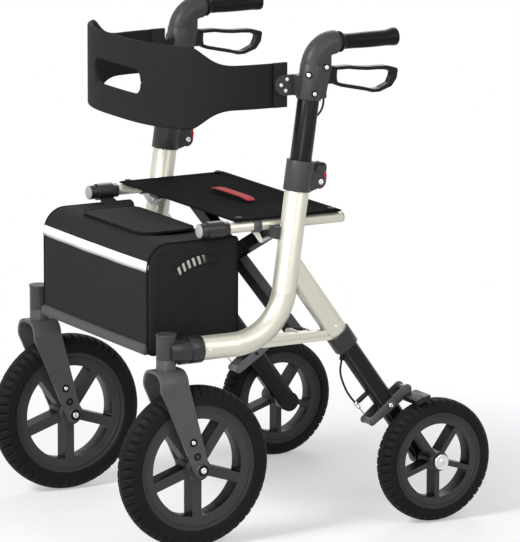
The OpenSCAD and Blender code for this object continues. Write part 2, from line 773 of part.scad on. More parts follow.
module grip() color(rubber) difference() {
    union() {
        long_pin(frame_x, grip_y, grip_h, grip_d, grip_len);
        long_pin(frame_x, grip_y, grip_h, flange_d, flange_t);
        long_pin(frame_x, grip_y + grip_len - grip_end_len, grip_h, grip_end_d, grip_end_len);
    }
    long_pin(frame_x, grip_y - over, grip_h, core_d + 2 * fit_gap, grip_len - core_stop + over + fit_gap);
}

module band_bracket() color(dark_grey) difference() {
    union() {
        side_plane(band_x) linear_extrude(bracket_t) tapered_bar([bracket_y + bracket_h / 2, band_z],
            bracket_h / 2, [post_y(band_z) - bracket_h / 2, band_z], bracket_h / 2);
        translate([band_x - band_t, bracket_y, band_z - band_end_h / 2])
            cube([band_t, band_end_y - bracket_y, band_end_h]);
        translate([band_x, post_y(band_z) - housing_d / 2 - bracket_t, band_z - bracket_h / 2])
            cube([frame_x - band_x + bracket_t, housing_d / 2, bracket_h]);
    }
    on_post(housing_z - bracket_len) cylinder(d = housing_d, h = 3 * bracket_len);
}

// One bar of the scissor: local X runs from the lower hinge up to the rail
module cross_bar(y, hinge_side) translate([hinge_side * rail_x, y, brace_z])
    rotate([0, hinge_side > 0 ? 180 + cross_angle : -cross_angle, 0]) children();

module bar_blank() {
    rotate([90, 0, 0]) cylinder(d = bar_h, h = bar_t, center = true);
    translate([0, -bar_t / 2, -bar_h / 2]) cube([cross_len, bar_t, bar_h]);
}

module cross_bar_a() color(black) {
    difference() {
        cross_bar(bar_a_y, 1) bar_blank();
        long_pin(rail_x, bar_a_y - bar_t, brace_z, hinge_pin_d + 2 * run_gap, 2 * bar_t);
        rail_clear(-1, bar_a_y);
    }
    pivot_z0 = (seat_rail_h + brace_z) / 2;
    boss_from = bar_b_y + bar_t / 2 + free_gap;
    long_pin(0, boss_from, pivot_z0, pivot_boss_d, bar_a_y - boss_from);
    head_from = bar_b_y - bar_t / 2 - free_gap - pivot_head_t;
    long_pin(0, head_from, pivot_z0, pivot_pin_d, bar_a_y - head_from);
    long_pin(0, head_from, pivot_z0, pivot_head_d, pivot_head_t);
}

module cross_bar_b() color(black) difference() {
    cross_bar(bar_b_y, -1) bar_blank();
    long_pin(-rail_x, bar_b_y - bar_t, brace_z, hinge_pin_d + 2 * run_gap, 2 * bar_t);
    long_pin(0, bar_b_y - bar_t, (seat_rail_h + brace_z) / 2, pivot_pin_d + 2 * run_gap, 2 * bar_t);
    rail_clear(1, bar_b_y);
}

// Space of the rail and everything outboard of its axis
module rail_clear(s, y) {
    long_pin(s * rail_x, y - bar_t, seat_rail_h, rail_d, 2 * bar_t);
    translate([s > 0 ? rail_x : -rail_x - bar_h * 2, y - bar_t, seat_rail_h - bar_h])
        cube([bar_h * 2, 2 * bar_t, 2 * bar_h]);
    translate([-track_w, y - bar_t, seat_rail_h + rail_d / 2 - free_gap]) cube([2 * track_w, 2 * bar_t, bar_h]);
}

module seat_rail() color(champagne) difference() {
    long_pin(rail_x, rail_front_y, seat_rail_h, rail_d, rail_rear_y - rail_front_y);
    long_pin(rail_x, rail_front_y - over, seat_rail_h, rail_d - 2 * rail_wall, rail_rear_y - rail_front_y + 2 * over);
}

module rail_sleeve() color(black) difference() {
    long_pin(rail_x, rail_front_y - sleeve_cap, seat_rail_h, sleeve_d, sleeve_len);
    long_pin(rail_x, rail_front_y, seat_rail_h, rail_d + 2 * fit_gap, sleeve_len);
}

module seat_panel() color(cloth)
    translate([-rail_x - seat_over, rail_rear_y - seat_rear_gap - seat_depth, seat_z])
        cube([2 * (rail_x + seat_over), seat_depth, seat_t]);

module seat_pull_strap() color(red) {
    r = (strap_half * strap_half + strap_rise * strap_rise) / (2 * strap_rise);
    translate([0, strap_y + strap_w / 2, seat_z + seat_t]) rotate([90, 0, 0]) linear_extrude(strap_w)
        intersection() {
            translate([-strap_half, 0]) square([2 * strap_half, 2 * strap_rise]);
            translate([0, strap_rise - r]) difference() {
                circle(r = r, $fn = 200);
                circle(r = r - strap_t, $fn = 200);
            }
        }
}

// Side outline of the bag in (Y, Z), with a large round at the top front
module bag_outline(inset) {
    low = [bag_front_y + inset, bag_top_z - bag_h + inset];
    high = [bag_back_y - inset, bag_top_z - inset];
    big = bag_round - inset;
    small = bag_corner - inset;
    difference() {
        translate(low) square(high - low);
        translate([low[0] - over, high[1] - big]) square([big + over, big + over]);
        for (y = [low[0] - over, high[0] - small]) translate([y, low[1] - over]) square(small + over);
    }
    translate([low[0] + big, high[1] - big]) circle(r = big);
    for (y = [low[0] + small, high[0] - small]) translate([y, low[1] + small]) circle(r = small);
}

module mouth(extra, r, h) translate([0, bag_back_y - mouth_back - mouth_len / 2, 0]) linear_extrude(h)
    rounded_rect(mouth_w + 2 * extra, mouth_len + 2 * extra, r);

loop_y = rail_front_y + loop_setback;

module bag_shell() color(cloth) {
    difference() {
        side_plane(-bag_w / 2) linear_extrude(bag_w) bag_outline(0);
        side_plane(-bag_w / 2 + bag_wall) linear_extrude(bag_w - 2 * bag_wall) bag_outline(bag_wall);
        translate([0, 0, bag_top_z - bag_h / 2]) mouth(0, mouth_round, bag_h);
    }
    for (s = [-1, 1]) difference() {
        union() {
            long_pin(s * rail_x, loop_y, seat_rail_h, sleeve_d + 2 * free_gap + 2 * loop_t, loop_len);
            translate([s > 0 ? rail_x - loop_root : -rail_x, loop_y, bag_top_z - bag_wall])
                cube([loop_root, loop_len, seat_rail_h - sleeve_d / 2 - bag_top_z + bag_wall]);
        }
        long_pin(s * rail_x, loop_y - over, seat_rail_h, sleeve_d + 2 * free_gap, loop_len + 2 * over);
        side_plane(-bag_w / 2 + bag_wall) linear_extrude(bag_w - 2 * bag_wall) bag_outline(bag_wall);
    }
}

module bag_flap() color(cloth) translate([0, 0, bag_top_z + free_gap]) mouth(flap_lap, flap_round, flap_t);

// Plan curve of the backrest band, inset from its outer face
function band_point(t, inset) = [
    (band_x - inset) * pow(cos(t), 2 / band_power),
    band_end_y - (band_depth - inset) * pow(sin(t), 2 / band_power)
];
band_t0 = asin(pow((band_end_y - band_hinge_y) / band_depth, band_power / 2));

// Front face of the bracket, clear of the inner corner of the band
bracket_y = band_point(band_t0, band_t)[1] + free_gap;

module band_plan() {
    angles = [for (i = [0 : band_steps]) band_t0 + (90 - band_t0) * i / band_steps];
    polygon(concat(
        [for (t = angles) band_point(t, 0)],
        [for (i = [band_steps : -1 : 0]) band_point(angles[i], band_t)]
    ));
}

// Height of the band over the width, drawn in (X, Z)
module band_front() {
    function grow(k) = (1 - cos(180 * k)) / 2;
    function half_h(k) = (band_end_h + (band_mid_h - band_end_h) * (1 - grow(k))) / 2;
    function flare_x(k) = band_x * (flare_in_share + (flare_out_share - flare_in_share) * k);
    edge = [for (i = [0 : flare_steps]) [flare_x(i / flare_steps), half_h(i / flare_steps)]];
    upper = concat([[band_gap, band_mid_h / 2]], edge, [[band_x + over, band_end_h / 2]]);
    difference() {
        polygon(concat(upper, [for (i = [len(upper) - 1 : -1 : 0]) [upper[i][0], -upper[i][1]]]));
        rounded_rect(window_w, window_h, window_h / 2 - over);
    }
}

module backrest_left() color(black) intersection() {
    translate([0, 0, band_z - band_mid_h]) linear_extrude(2 * band_mid_h) band_plan();
    translate([0, 0, band_z]) rotate([90, 0, 0]) linear_extrude(2 * band_depth + track_w) band_front();
}

module right() mirror([1, 0, 0]) children();

side_tube();  // left_side_tube
rear_leg();  // left_rear_leg
leg_brace(bar_a_y);  // left_leg_brace
leg_collar();  // left_leg_collar
lower_leg();  // left_lower_leg
front_collar();  // left_front_collar
head_tube();  // left_head_tube
height_clamp();  // left_height_clamp
rail_saddle();  // left_rail_saddle
leg_cable();  // left_leg_cable
fork();  // left_fork
front_axle();  // left_front_axle
front_tyre();  // left_front_tyre
front_rim();  // left_front_rim
rear_tyre();  // left_rear_tyre
rear_rim();  // left_rear_rim
brake_arm();  // left_brake_arm
clamp_lever();  // left_clamp_lever
handle_post();  // left_handle_post
handle_housing();  // left_handle_housing
grip();  // left_grip
band_bracket();  // left_band_bracket
lever_cable();  // left_lever_cable
brake_lever();  // left_brake_lever
right() side_tube();  // right_side_tube
right() rear_leg();  // right_rear_leg
right() leg_brace(bar_b_y);  // right_leg_brace
right() leg_collar();  // right_leg_collar
right() lower_leg();  // right_lower_leg
right() front_collar();  // right_front_collar
right() head_tube();  // right_head_tube
right() height_clamp();  // right_height_clamp
right() rail_saddle();  // right_rail_saddle
right() leg_cable();  // right_leg_cable
right() fork();  // right_fork
right() front_axle();  // right_front_axle
right() front_tyre();  // right_front_tyre
right() front_rim();  // right_front_rim
right() rear_tyre();  // right_rear_tyre
right() rear_rim();  // right_rear_rim
right() brake_arm();  // right_brake_arm
right() clamp_lever();  // right_clamp_lever
right() handle_post();  // right_handle_post
right() handle_housing();  // right_handle_housing
right() grip();  // right_grip
right() band_bracket();  // right_band_bracket
right() lever_cable();  // right_lever_cable
right() brake_lever();  // right_brake_lever
cross_bar_a();
cross_bar_b();
seat_rail();  // left_seat_rail
right() seat_rail();  // right_seat_rail
rail_sleeve();  // left_rail_sleeve
right() rail_sleeve();  // right_rail_sleeve
seat_panel();
seat_pull_strap();
bag_shell();
bag_flap();
backrest_left();
right() backrest_left();  // backrest_right
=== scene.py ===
"""Looks of an all terrain rollator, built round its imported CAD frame.

Shapes are written in millimetres, and piece() turns them into metres.
"""
from functools import partialmethod
from math import acos, asin, atan2, copysign, cos, dist, exp, hypot, pi, radians, sin, sqrt, tan

import bmesh
import bpy
import numpy as np
from mathutils import Matrix, Vector


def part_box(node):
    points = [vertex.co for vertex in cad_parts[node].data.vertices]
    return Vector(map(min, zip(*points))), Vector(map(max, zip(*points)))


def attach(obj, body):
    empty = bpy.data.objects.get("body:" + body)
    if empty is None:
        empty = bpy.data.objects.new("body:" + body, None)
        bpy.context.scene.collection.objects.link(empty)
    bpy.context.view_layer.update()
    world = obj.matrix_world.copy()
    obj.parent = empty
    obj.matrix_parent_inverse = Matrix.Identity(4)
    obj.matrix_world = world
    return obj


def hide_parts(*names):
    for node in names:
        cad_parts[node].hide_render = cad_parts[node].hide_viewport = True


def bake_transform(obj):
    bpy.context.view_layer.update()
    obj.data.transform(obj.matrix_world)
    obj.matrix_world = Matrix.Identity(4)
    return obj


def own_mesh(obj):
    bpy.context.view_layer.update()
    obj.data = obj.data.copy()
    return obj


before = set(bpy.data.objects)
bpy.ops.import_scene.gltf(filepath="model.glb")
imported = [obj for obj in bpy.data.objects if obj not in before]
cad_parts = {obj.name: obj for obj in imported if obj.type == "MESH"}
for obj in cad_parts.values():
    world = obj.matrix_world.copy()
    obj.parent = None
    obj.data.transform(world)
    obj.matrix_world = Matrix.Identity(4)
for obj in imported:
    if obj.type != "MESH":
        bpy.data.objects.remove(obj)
SCENE = bpy.context.scene
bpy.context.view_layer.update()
SIDES = (("left", 1), ("right", -1))
RAIL_BODY = {"left": "scissor_b", "right": "scissor_a"}
MM = 0.001
WHITE = (1, 1, 1, 1)

# Sizes of the object, as in its source
FRAME_X, REAR_X = 252, 296
FRONT_AXLE_Y, REAR_AXLE_Y = -225.5, 259.5
FRONT_R, REAR_R = 150, 116
LEAN = radians(8)
CORNER_Y, TUBE_Z = -48.5, 367
RAIL_X, RAIL_Z = 216, 575
GRIP_Y, GRIP_Z = 74.88, 907
LEVER_PIN = (40.39, 865)
CLAMP_PIN = (32.3, 654.39)
SEAT_Z = 585.3
LEG_TOP, LEG_ANGLE = (-28.26, 511), radians(36.07)
BAG = dict(half=207, front=-296.5, back=-106.5, low=350, high=558, round=45)
BAND = dict(x=236, end=-21.8, depth=227, hinge=-49.8, z=833, end_h=82, mid_h=152, window=(180, 45), t=6)
LID = dict(y=-202.5, z=558.3, half_x=127, half_y=59, round=30)
HOUSING_Z, HUB_END_X, SHOE_X, BAG_SEAM_X, CABLE_D = 806, 326.3, 268.4, 203.7, 3.9


def post_y(z):
    """Y of the axis of a handle post at a height."""
    return CORNER_Y + (z - TUBE_Z) * tan(LEAN)


# Camera and light
def photo_camera():
    """The photograph's view: a long lens, 60.5 degrees round from the front and 11.45 degrees up."""
    aim, distance, roll = Vector((0, 0.0543, 0.446)), 9.075, radians(0.18)
    back = Vector((0.8531, -0.4825, 0.1985)).normalized()
    data = bpy.data.cameras.new("photo_camera")
    data.lens, data.sensor_width, data.clip_end = 321.3, 36, 100
    data.shift_x, data.shift_y = 0.0015, -0.0066
    cam = bpy.data.objects.new("photo_camera", data)
    SCENE.collection.objects.link(cam)
    cam.location = aim + back * distance
    facing = back.to_track_quat("Z", "Y").to_matrix() @ Matrix.Rotation(roll, 3, "Z")
    cam.rotation_euler = facing.to_euler()
    SCENE.camera = cam


def soft_lamp(name, place, size, watts, target=(0, 0, 0.45)):
    """A round lamp that faces the middle of the object."""
    data = bpy.data.lights.new(name, "AREA")
    data.shape, data.size, data.energy = "DISK", size, watts
    lamp = bpy.data.objects.new(name, data)
    lamp.location = place
    lamp.rotation_euler = (Vector(place) - Vector(target)).to_track_quat("Z", "Y").to_euler()
    SCENE.collection.objects.link(lamp)


# Finishes
def paint(code):
    """A written colour as the linear numbers that a shader takes."""
    parts = [int(code[i:i + 2], 16) / 255 for i in (1, 3, 5)]
    return tuple(p / 12.92 if p <= 0.04045 else ((p + 0.055) / 1.055) ** 2.4 for p in parts) + (1.0,)


class Field:
    """A value that changes over a surface. Sums and products of fields add Math nodes to their graph."""

    def __init__(self, graph, socket):
        self.graph, self.socket = graph, socket

    def maths(self, operation, *others):
        return self.graph.node("ShaderNodeMath", (self, *others), operation=operation)

    def __rsub__(self, other):
        return self.graph.node("ShaderNodeMath", (other, self), operation="SUBTRACT")

    __add__ = __radd__ = partialmethod(maths, "ADD")
    __mul__ = __rmul__ = partialmethod(maths, "MULTIPLY")
    __sub__ = partialmethod(maths, "SUBTRACT")
    __pow__ = partialmethod(maths, "POWER")
    __gt__ = partialmethod(maths, "GREATER_THAN")
    __abs__ = partialmethod(maths, "ABSOLUTE")


class Graph:
    """A node tree that is written in fields."""

    def __init__(self, tree, output):
        self.tree = tree
        tree.nodes.clear()
        self.output = tree.nodes.new(output)

    def node(self, kind, values=(), out=0, **settings):
        made = self.tree.nodes.new(kind)
        for key, value in settings.items():
            setattr(made, key, value)
        for key, value in values.items() if isinstance(values, dict) else enumerate(values):
            self.put(made.inputs[key], value)
        return Field(self, made.outputs[out])

    def put(self, socket, value):
        if isinstance(value, Field):
            self.tree.links.new(value.socket, socket)
        else:
            socket.default_value = value

    def show(self, surface):
        self.put(self.output.inputs[0], surface)

    def ramp(self, value, low, high, to_low=0.0, to_high=1.0):
        values = {"Value": value, "From Min": low, "From Max": high, "To Min": to_low, "To Max": to_high}
        return self.node("ShaderNodeMapRange", values)

    def seen(self):
        """1 on rays from the camera, also when they come by way of a mirror or glass."""
        kinds = ("Camera", "Glossy", "Transmission")
        camera, glossy, clear = [self.node("ShaderNodeLightPath", out=f"Is {kind} Ray") for kind in kinds]
        return camera.maths("MAXIMUM", glossy.maths("MAXIMUM", clear))


class Finish(Graph):
    """One material: a Principled surface whose changing inputs are fields."""

    def __init__(self, name):
        self.material = bpy.data.materials.new(name)
        self.material.use_nodes = True
        super().__init__(self.material.node_tree, "ShaderNodeOutputMaterial")
        self.principled = self.tree.nodes.new("ShaderNodeBsdfPrincipled")
        self.surface = Field(self, self.principled.outputs[0])
        self.show(self.surface)

    def set(self, gloss=0.5, **values):
        self.principled.inputs["Specular IOR Level"].default_value = gloss
        for key, value in values.items():
            self.put(self.principled.inputs[key.replace("_", " ").title()], value)
        return self.material

    def place(self):
        return self.node("ShaderNodeTexCoord", out="Object")

    def axes(self):
        split = self.node("ShaderNodeSeparateXYZ", (self.place(),))
        return [Field(self, axis) for axis in split.socket.node.outputs]

    def noise(self, scale, detail=2.0):
        values = {"Vector": self.place(), "Scale": scale, "Detail": detail}
        return self.node("ShaderNodeTexNoise", values, "Fac")

    def cells(self, scale):
        return self.node("ShaderNodeTexVoronoi", {"Vector": self.place(), "Scale": scale}, "Distance")

    def threads(self, pitch, slant):
        """Plain weave: threads cross in two directions on whichever pair of axes the surface lies in."""
        x, y, z = self.axes()
        k = 2 * pi / (pitch * MM)
        return ((x + z * slant) * k).maths("SINE") * ((z + y) * k).maths("SINE") * 0.5 + 0.5

    def mix(self, share, a, b):
        a, b = [paint(c) if isinstance(c, str) else c for c in (a, b)]
        return self.node("ShaderNodeMix", {0: share, 6: a, 7: b}, 2, data_type="RGBA")

    def grain(self, scale=900.0, strength=0.25):
        return self.bump(self.cells(scale), strength, 0.0003)

    def bump(self, height, strength, depth):
        return self.node("ShaderNodeBump", {"Height": height, "Strength": strength, "Distance": depth})


def metal(name, dark, pale, metallic, rough, drift, haze, flake, strength, depth):
    """Metal, bare or under a metallic coat: a fine flake and a slow haze."""
    f = Finish(name)
    fine, slow = f.noise(flake, 1.0), f.noise(haze, 3.0)
    return f.set(
        base_color=f.mix(slow, dark, pale),
        metallic=metallic,
        roughness=rough + slow * drift,
        normal=f.bump(fine, strength, depth),
    )


def moulded(name, dark, pale, rough, grain=900.0, strength=0.25, gloss=0.3):
    """Moulded plastic or powder coat: a fine grain and a slow drift of shade."""
    f = Finish(name)
    slow = f.noise(14, 4.0)
    return f.set(
        base_color=f.mix(slow, dark, pale),
        roughness=rough + (slow - 0.5) * 0.16,
        normal=f.grain(grain, strength),
        gloss=gloss,
    )


def tread_rubber():
    """Tyres: black rubber with a trace of dust."""
    f = Finish("tread_rubber")
    fine, slow = f.cells(1300), f.noise(30, 4.0)
    dust = f.noise(11, 5.0) ** 3
    return f.set(
        base_color=f.mix(dust, "#0E0E0E", "#222121"),
        roughness=0.5 + slow * 0.2,
        normal=f.bump(fine, 0.3, 0.0004),
        gloss=0.12,
    )


def woven(name, dark, pale, pitch, rough, deep=0.5, gloss=0.1):
    """Woven cloth: fine threads and a slow drift of shade."""
    f = Finish(name)
    thread, slow = f.threads(pitch, 0.31), f.noise(6, 4.0)
    return f.set(
        base_color=f.mix(thread * 0.35 + slow * 0.65, dark, pale),
        roughness=rough + (slow - 0.5) * 0.12,
        normal=f.bump(thread + f.noise(300, 2.0) * 0.4, deep, 0.0004),
        gloss=gloss,
    )


def bag_weave():
    """Bag cloth: dark grey on the wrap over front and top, black on the two side panels."""
    f = Finish("bag_cloth")
    thread, slow = f.threads(1.5, 0.3), f.noise(5, 4.0)
    wrap = f.mix(thread * 0.35 + slow * 0.65, "#212122", "#2C2C2D")
    panel = f.mix(slow, "#1E1E20", "#272728")
    return f.set(
        base_color=f.mix(abs(f.axes()[0]) > BAG_SEAM_X * MM, wrap, panel),
        roughness=0.75 + (slow - 0.5) * 0.15,
        normal=f.bump(thread + f.noise(300, 2.0) * 0.4, 0.4, 0.0004),
        gloss=0.06,
    )


def rim_with_painted_shade(name, plane, reach):
    """Rim: dark grey on its two faces, with painted shade in black on the barrel and on the flanks of the
    spokes.
    """
    f = Finish(name)
    x, slow = f.axes()[0], f.noise(14, 4.0)
    # Painted shade: away from its two faces the rim is painted black.
    face = abs(abs(x) - plane * MM) > reach * MM
    return f.set(
        base_color=f.mix(face, "#0B0B0B", f.mix(slow, "#303030", "#3B3B3B")),
        roughness=0.4 + (slow - 0.5) * 0.16,
        normal=f.grain(),
        gloss=0.2,
    )


def split_metal():
    """Brake arm: bare grey plates on the leg and a black shoe over the tyre."""
    f = Finish("brake_arm_metal")
    x, slow = f.axes()[0], f.noise(50, 3.0)
    shoe = abs(x) > SHOE_X * MM
    plate = f.mix(slow, "#5A5A5C", "#78787A")
    return f.set(
        base_color=f.mix(shoe, plate, "#111111"),
        metallic=0.75 - shoe * 0.75,
        roughness=0.34 + slow * 0.14,
        normal=f.bump(f.noise(900, 2.0), 0.08, 0.0003),
        gloss=0.3,
    )


def sewn_bracket():
    """Backrest bracket: a grey moulded plate over the black cloth end of the band."""
    f = Finish("band_bracket_face")
    x, slow = f.axes()[0], f.noise(20, 3.0)
    just_outside = BAND["x"] + 0.06
    plate = abs(x) > just_outside * MM
    return f.set(
        base_color=f.mix(plate, "#131314", f.mix(slow, "#2A2A2B", "#373738")),
        roughness=0.72 - plate * 0.3 + (slow - 0.5) * 0.1,
        normal=f.grain(),
        gloss=0.3,
    )


def reflective_tape():
    """White tape, with painted shade that grades it to grey along its lower edge."""
    painted_shade_from, painted_shade_to = 0.515, 0.508
    f = Finish("reflective_tape")
    # Painted shade: below a height the white tape turns grey.
    bead, lower_painted_shade = f.cells(1600.0), f.ramp(f.axes()[2], painted_shade_from, painted_shade_to)
    return f.set(
        base_color=f.mix(lower_painted_shade, f.mix(bead, "#F2F2F0", "#E2E2E0"), "#8C8C8B"),
        roughness=0.4 + bead * 0.2,
        normal=f.bump(bead, 0.3, 0.0003),
        gloss=0.3,
    )


def striped_webbing():
    """Grab handle of the bag: pale woven bars on black that run out towards the rear."""
    bar_pitch, bars_from, bars_full = 0.0115, -0.176, -0.19
    f = Finish("handle_webbing")
    _, y, z = f.axes()
    bar = ((y + z * 0.35) * (2 * pi / bar_pitch)).maths("SINE") > 0.1
    front, slow = f.ramp(y, bars_from, bars_full), f.noise(160, 3.0)
    return f.set(
        base_color=f.mix(bar * front * (0.55 + slow * 0.45), "#101011", "#B9B9AE"),
        roughness=0.6 + slow * 0.2,
        normal=f.bump(f.noise(900, 2.0) + bar, 0.3, 0.0004),
        gloss=0.2,
    )


def capped_lever():
    """Clamp lever: grey body between a black cap and a black foot, red along its lower rear edge."""
    cap_from, foot_to = 0.6835, 0.6472
    red_low, red_high, red_behind = 0.643, 0.672, 0.0075
    f = Finish("clamp_lever_face")
    _, y, z = f.axes()
    slow = f.noise(30, 3.0)
    black = (z > cap_from).maths("MAXIMUM", 1 - (z > foot_to))
    back = (y - CLAMP_PIN[0] * MM) * cos(LEAN) - (z - CLAMP_PIN[1] * MM) * sin(LEAN)
    red = (back > red_behind) * (1 - (z > red_high)) * (z > red_low)
    body = f.mix(black, f.mix(slow, "#2E2E30", "#3A3A3C"), "#0E0E0E")
    return f.set(
        base_color=f.mix(red, body, "#B0202C"),
        roughness=0.4 + (slow - 0.5) * 0.12,
        normal=f.grain(strength=0.2),
        gloss=0.3,
    )


def ribbed(name, dark, pale, pitch, axis):
    """Webbing or tape with ribs along one axis."""
    f = Finish(name)
    rib = (f.axes()[axis] * (2 * pi / (pitch * MM))).maths("SINE") * 0.5 + 0.5
    slow = f.noise(40, 3.0)
    return f.set(
        base_color=f.mix(rib * 0.5 + slow * 0.5, dark, pale),
        roughness=0.6 + slow * 0.15,
        normal=f.bump(rib, 0.5, 0.0004),
        sheen_weight=0.03,
        gloss=0.25,
    )


CHAMPAGNE = metal("champagne_coat", "#D2CFC3", "#C7C4B6", 0.55, 0.3, 0.1, 9, 2200, 0.06, 0.0004)
BLACK_PLASTIC = moulded("black_plastic", "#0C0C0C", "#151515", 0.34, gloss=0.2)
COLLAR_PLASTIC = moulded("collar_plastic", "#1A1A1B", "#242425", 0.3, gloss=0.4)
GREY_PLASTIC = moulded("grey_plastic", "#343435", "#414142", 0.42, gloss=0.22)
GREY_METAL = moulded("grey_powder_coat", "#434344", "#505051", 0.36, 1500.0, 0.15, 0.22)
BLACK_METAL = moulded("black_powder_coat", "#0A0A0B", "#131314", 0.3, 1700.0, 0.1, 0.2)
RIM_PLASTIC = moulded("rim_plastic", "#303030", "#3B3B3B", 0.4, gloss=0.2)
FRONT_RIM = rim_with_painted_shade("front_rim_plastic", FRAME_X, 15.8)
REAR_RIM = rim_with_painted_shade("rear_rim_plastic", REAR_X, 14.4)
PALE_PLASTIC = moulded("pale_plug", "#8E8E8C", "#A6A6A3", 0.45)
STEEL = metal("bright_steel", "#CFCFCF", "#E2E2E0", 0.9, 0.22, 0.16, 60, 1500, 0.05, 0.0002)
RUBBER = tread_rubber()
GRIP_RUBBER = moulded("grip_rubber", "#090909", "#111111", 0.36, 520.0, 0.5, 0.12)
SHEATH = moulded("cable_sheath", "#0B0B0B", "#131313", 0.4, 1600.0, 0.1, 0.12)
BAG_CLOTH = bag_weave()
SEAT_CLOTH = woven("seat_cloth", "#131314", "#1C1C1D", 2.0, 0.85, 0.6, 0.02)
BAND_CLOTH = woven("backrest_cloth", "#19191A", "#222223", 1.2, 0.7, 0.35)
PIPING = woven("piping_tape", "#0C0C0D", "#151516", 1.0, 0.7)
BASE_TAPE = ribbed("bag_base_tape", "#3C3C3E", "#4E4E50", 2.2, 0)
REFLECTOR = reflective_tape()
RED_WEBBING = ribbed("red_webbing", "#B4212C", "#CE3640", 2.0, 1)
RED_PLASTIC = moulded("red_trim", "#A01A26", "#B62632", 0.4)
THREAD = moulded("sewing_thread", "#1E1E1F", "#2A2A2B", 0.7)
HANDLE_WEB = striped_webbing()
LEVER_FACE = capped_lever()
BRAKE_METAL = split_metal()
BRACKET_FACE = sewn_bracket()

NODE_FINISH = {
    node: finish
    for finish, nodes in (
        (CHAMPAGNE, "side_tube rear_leg leg_brace seat_rail"),
        (COLLAR_PLASTIC, "leg_collar front_collar rail_sleeve"),
        (GREY_PLASTIC, "head_tube height_clamp rail_saddle handle_housing"),
        (BLACK_METAL, "lower_leg handle_post bar_a bar_b"),
        (GREY_METAL, "fork"), (STEEL, "front_axle"), (FRONT_RIM, "front_rim"), (REAR_RIM, "rear_rim"),
        (BRAKE_METAL, "brake_arm"), (LEVER_FACE, "clamp_lever"), (BRACKET_FACE, "band_bracket"),
        (BLACK_PLASTIC, "brake_lever"),
    )
    for node in nodes.split()
}


def dress_frame():
    """The rigid solids keep their shape and take their finish, with their edges eased."""
    for name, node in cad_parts.items():
        finish = NODE_FINISH.get(name.split("_", 1)[1])
        if finish is None:
            continue
        node.data.materials.clear()
        node.data.materials.append(finish)
        weld = node.modifiers.new("weld", "WELD")
        weld.merge_threshold = 2e-5
        bevel = node.modifiers.new("eased_edges", "BEVEL")
        bevel.limit_method, bevel.angle_limit = "ANGLE", radians(38)
        bevel.width, bevel.segments, bevel.harden_normals = 0.0009, 2, True


# Mesh making
def rounded(made):
    """Smooths a piece by one step of subdivision."""
    smooth = made.modifiers.new("smooth", "SUBSURF")
    smooth.levels = smooth.render_levels = 1


def piece(name, points, faces, finish, body, slot=None, smooth=True, soft=False):
    """A mesh piece from millimetre points that faces outwards and rides on a body."""
    mesh = bpy.data.meshes.new(name)
    mesh.from_pydata([tuple(c * MM for c in p) for p in points], [], faces)
    mesh.validate()
    shape = bmesh.new()
    shape.from_mesh(mesh)
    if len(faces) > 1 and shape.calc_volume(signed=True) < 0:
        mesh.flip_normals()
    shape.free()
    mesh.update()
    for polygon in mesh.polygons:
        polygon.use_smooth = smooth
    mesh.materials.append(finish)
    made = bpy.data.objects.new(name, mesh)
    SCENE.collection.objects.link(made)
    if soft:
        rounded(made)
    if body:
        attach(made, body)
    return made


def bake(made):
    """Makes the modifiers part of the mesh."""
    shaped = bpy.data.meshes.new_from_object(made.evaluated_get(bpy.context.evaluated_depsgraph_get()))
    made.modifiers.clear()
    made.data = shaped


def grid_faces(rows, columns, wrap_rows=False, wrap_columns=True):
    """Quads of a grid of points, closed on itself in either direction."""
    return [
        (i * columns + j, i * columns + (j + 1) % columns,
         (i + 1) % rows * columns + (j + 1) % columns, (i + 1) % rows * columns + j)
        for i in range(rows if wrap_rows else rows - 1)
        for j in range(columns if wrap_columns else columns - 1)
    ]


def loft(rings, closed=False):
    """Points and faces of a skin over equal rings, capped at both ends unless it closes on itself."""
    columns = len(rings[0])
    points = [tuple(p) for ring in rings for p in ring]
    faces = grid_faces(len(rings), columns, closed)
    if not closed:
        faces += [tuple(range(columns))[::-1], tuple(range(len(points) - columns, len(points)))]
    return points, faces


def circle(sides):
    return [2 * pi * k / sides for k in range(sides)]


def turned(profile, centre, axis, sides=40):
    """Rings of a turned shape: profile holds (radius, distance along the axis)."""
    least_r, c, a = 0.01, Vector(centre), Vector(axis).normalized()
    u = a.orthogonal().normalized()
    v = a.cross(u)
    return [
        [c + a * h + (u * cos(t) + v * sin(t)) * max(r, least_r) for t in circle(sides)]
        for r, h in profile
    ]


def turn(name, profile, centre, axis, finish, body, slot=None, sides=40):
    piece(name, *loft(turned(profile, centre, axis, sides)), finish, body, slot)


def screw(name, centre, axis, r, h, body, finish, slot):
    """A domed cap screw with a socket in its head, standing on centre."""
    profile = [
        (r, -0.6), (r, h * 0.35), (r * 0.93, h * 0.68), (r * 0.74, h * 0.92),
        (r * 0.5, h), (r * 0.44, h * 0.98), (r * 0.4, h * 0.35), (0, h * 0.3),
    ]
    turn(name, profile, centre, axis, finish, body, slot, 32)


def recess_shade_dish(name, centre, axis, r, body):
    """A black dish under a screw, painted shade for the recess round the screw."""
    profile = [(r, -0.6), (r, 0.7), (r - 0.8, 1.2), (r - 1.8, 1.0), (r - 2.6, 0.35), (0, 0.3)]
    turn(name, profile, centre, axis, SHEATH, body, "black_plastic", 36)


def smooth_route(points, steps=8):
    """A Catmull-Rom line through points."""
    p = [Vector(q) for q in points]
    p = [p[0] * 2 - p[1], *p, p[-1] * 2 - p[-2]]
    line = []
    for i in range(1, len(p) - 2):
        for k in range(steps):
            t = k / steps
            a, b, c, d = p[i - 1:i + 3]
            line.append(0.5 * (2 * b + (c - a) * t + (2 * a - 5 * b + 4 * c - d) * t * t
                               + (3 * b - a - 3 * c + d) * t ** 3))
    return line + [p[-2]]


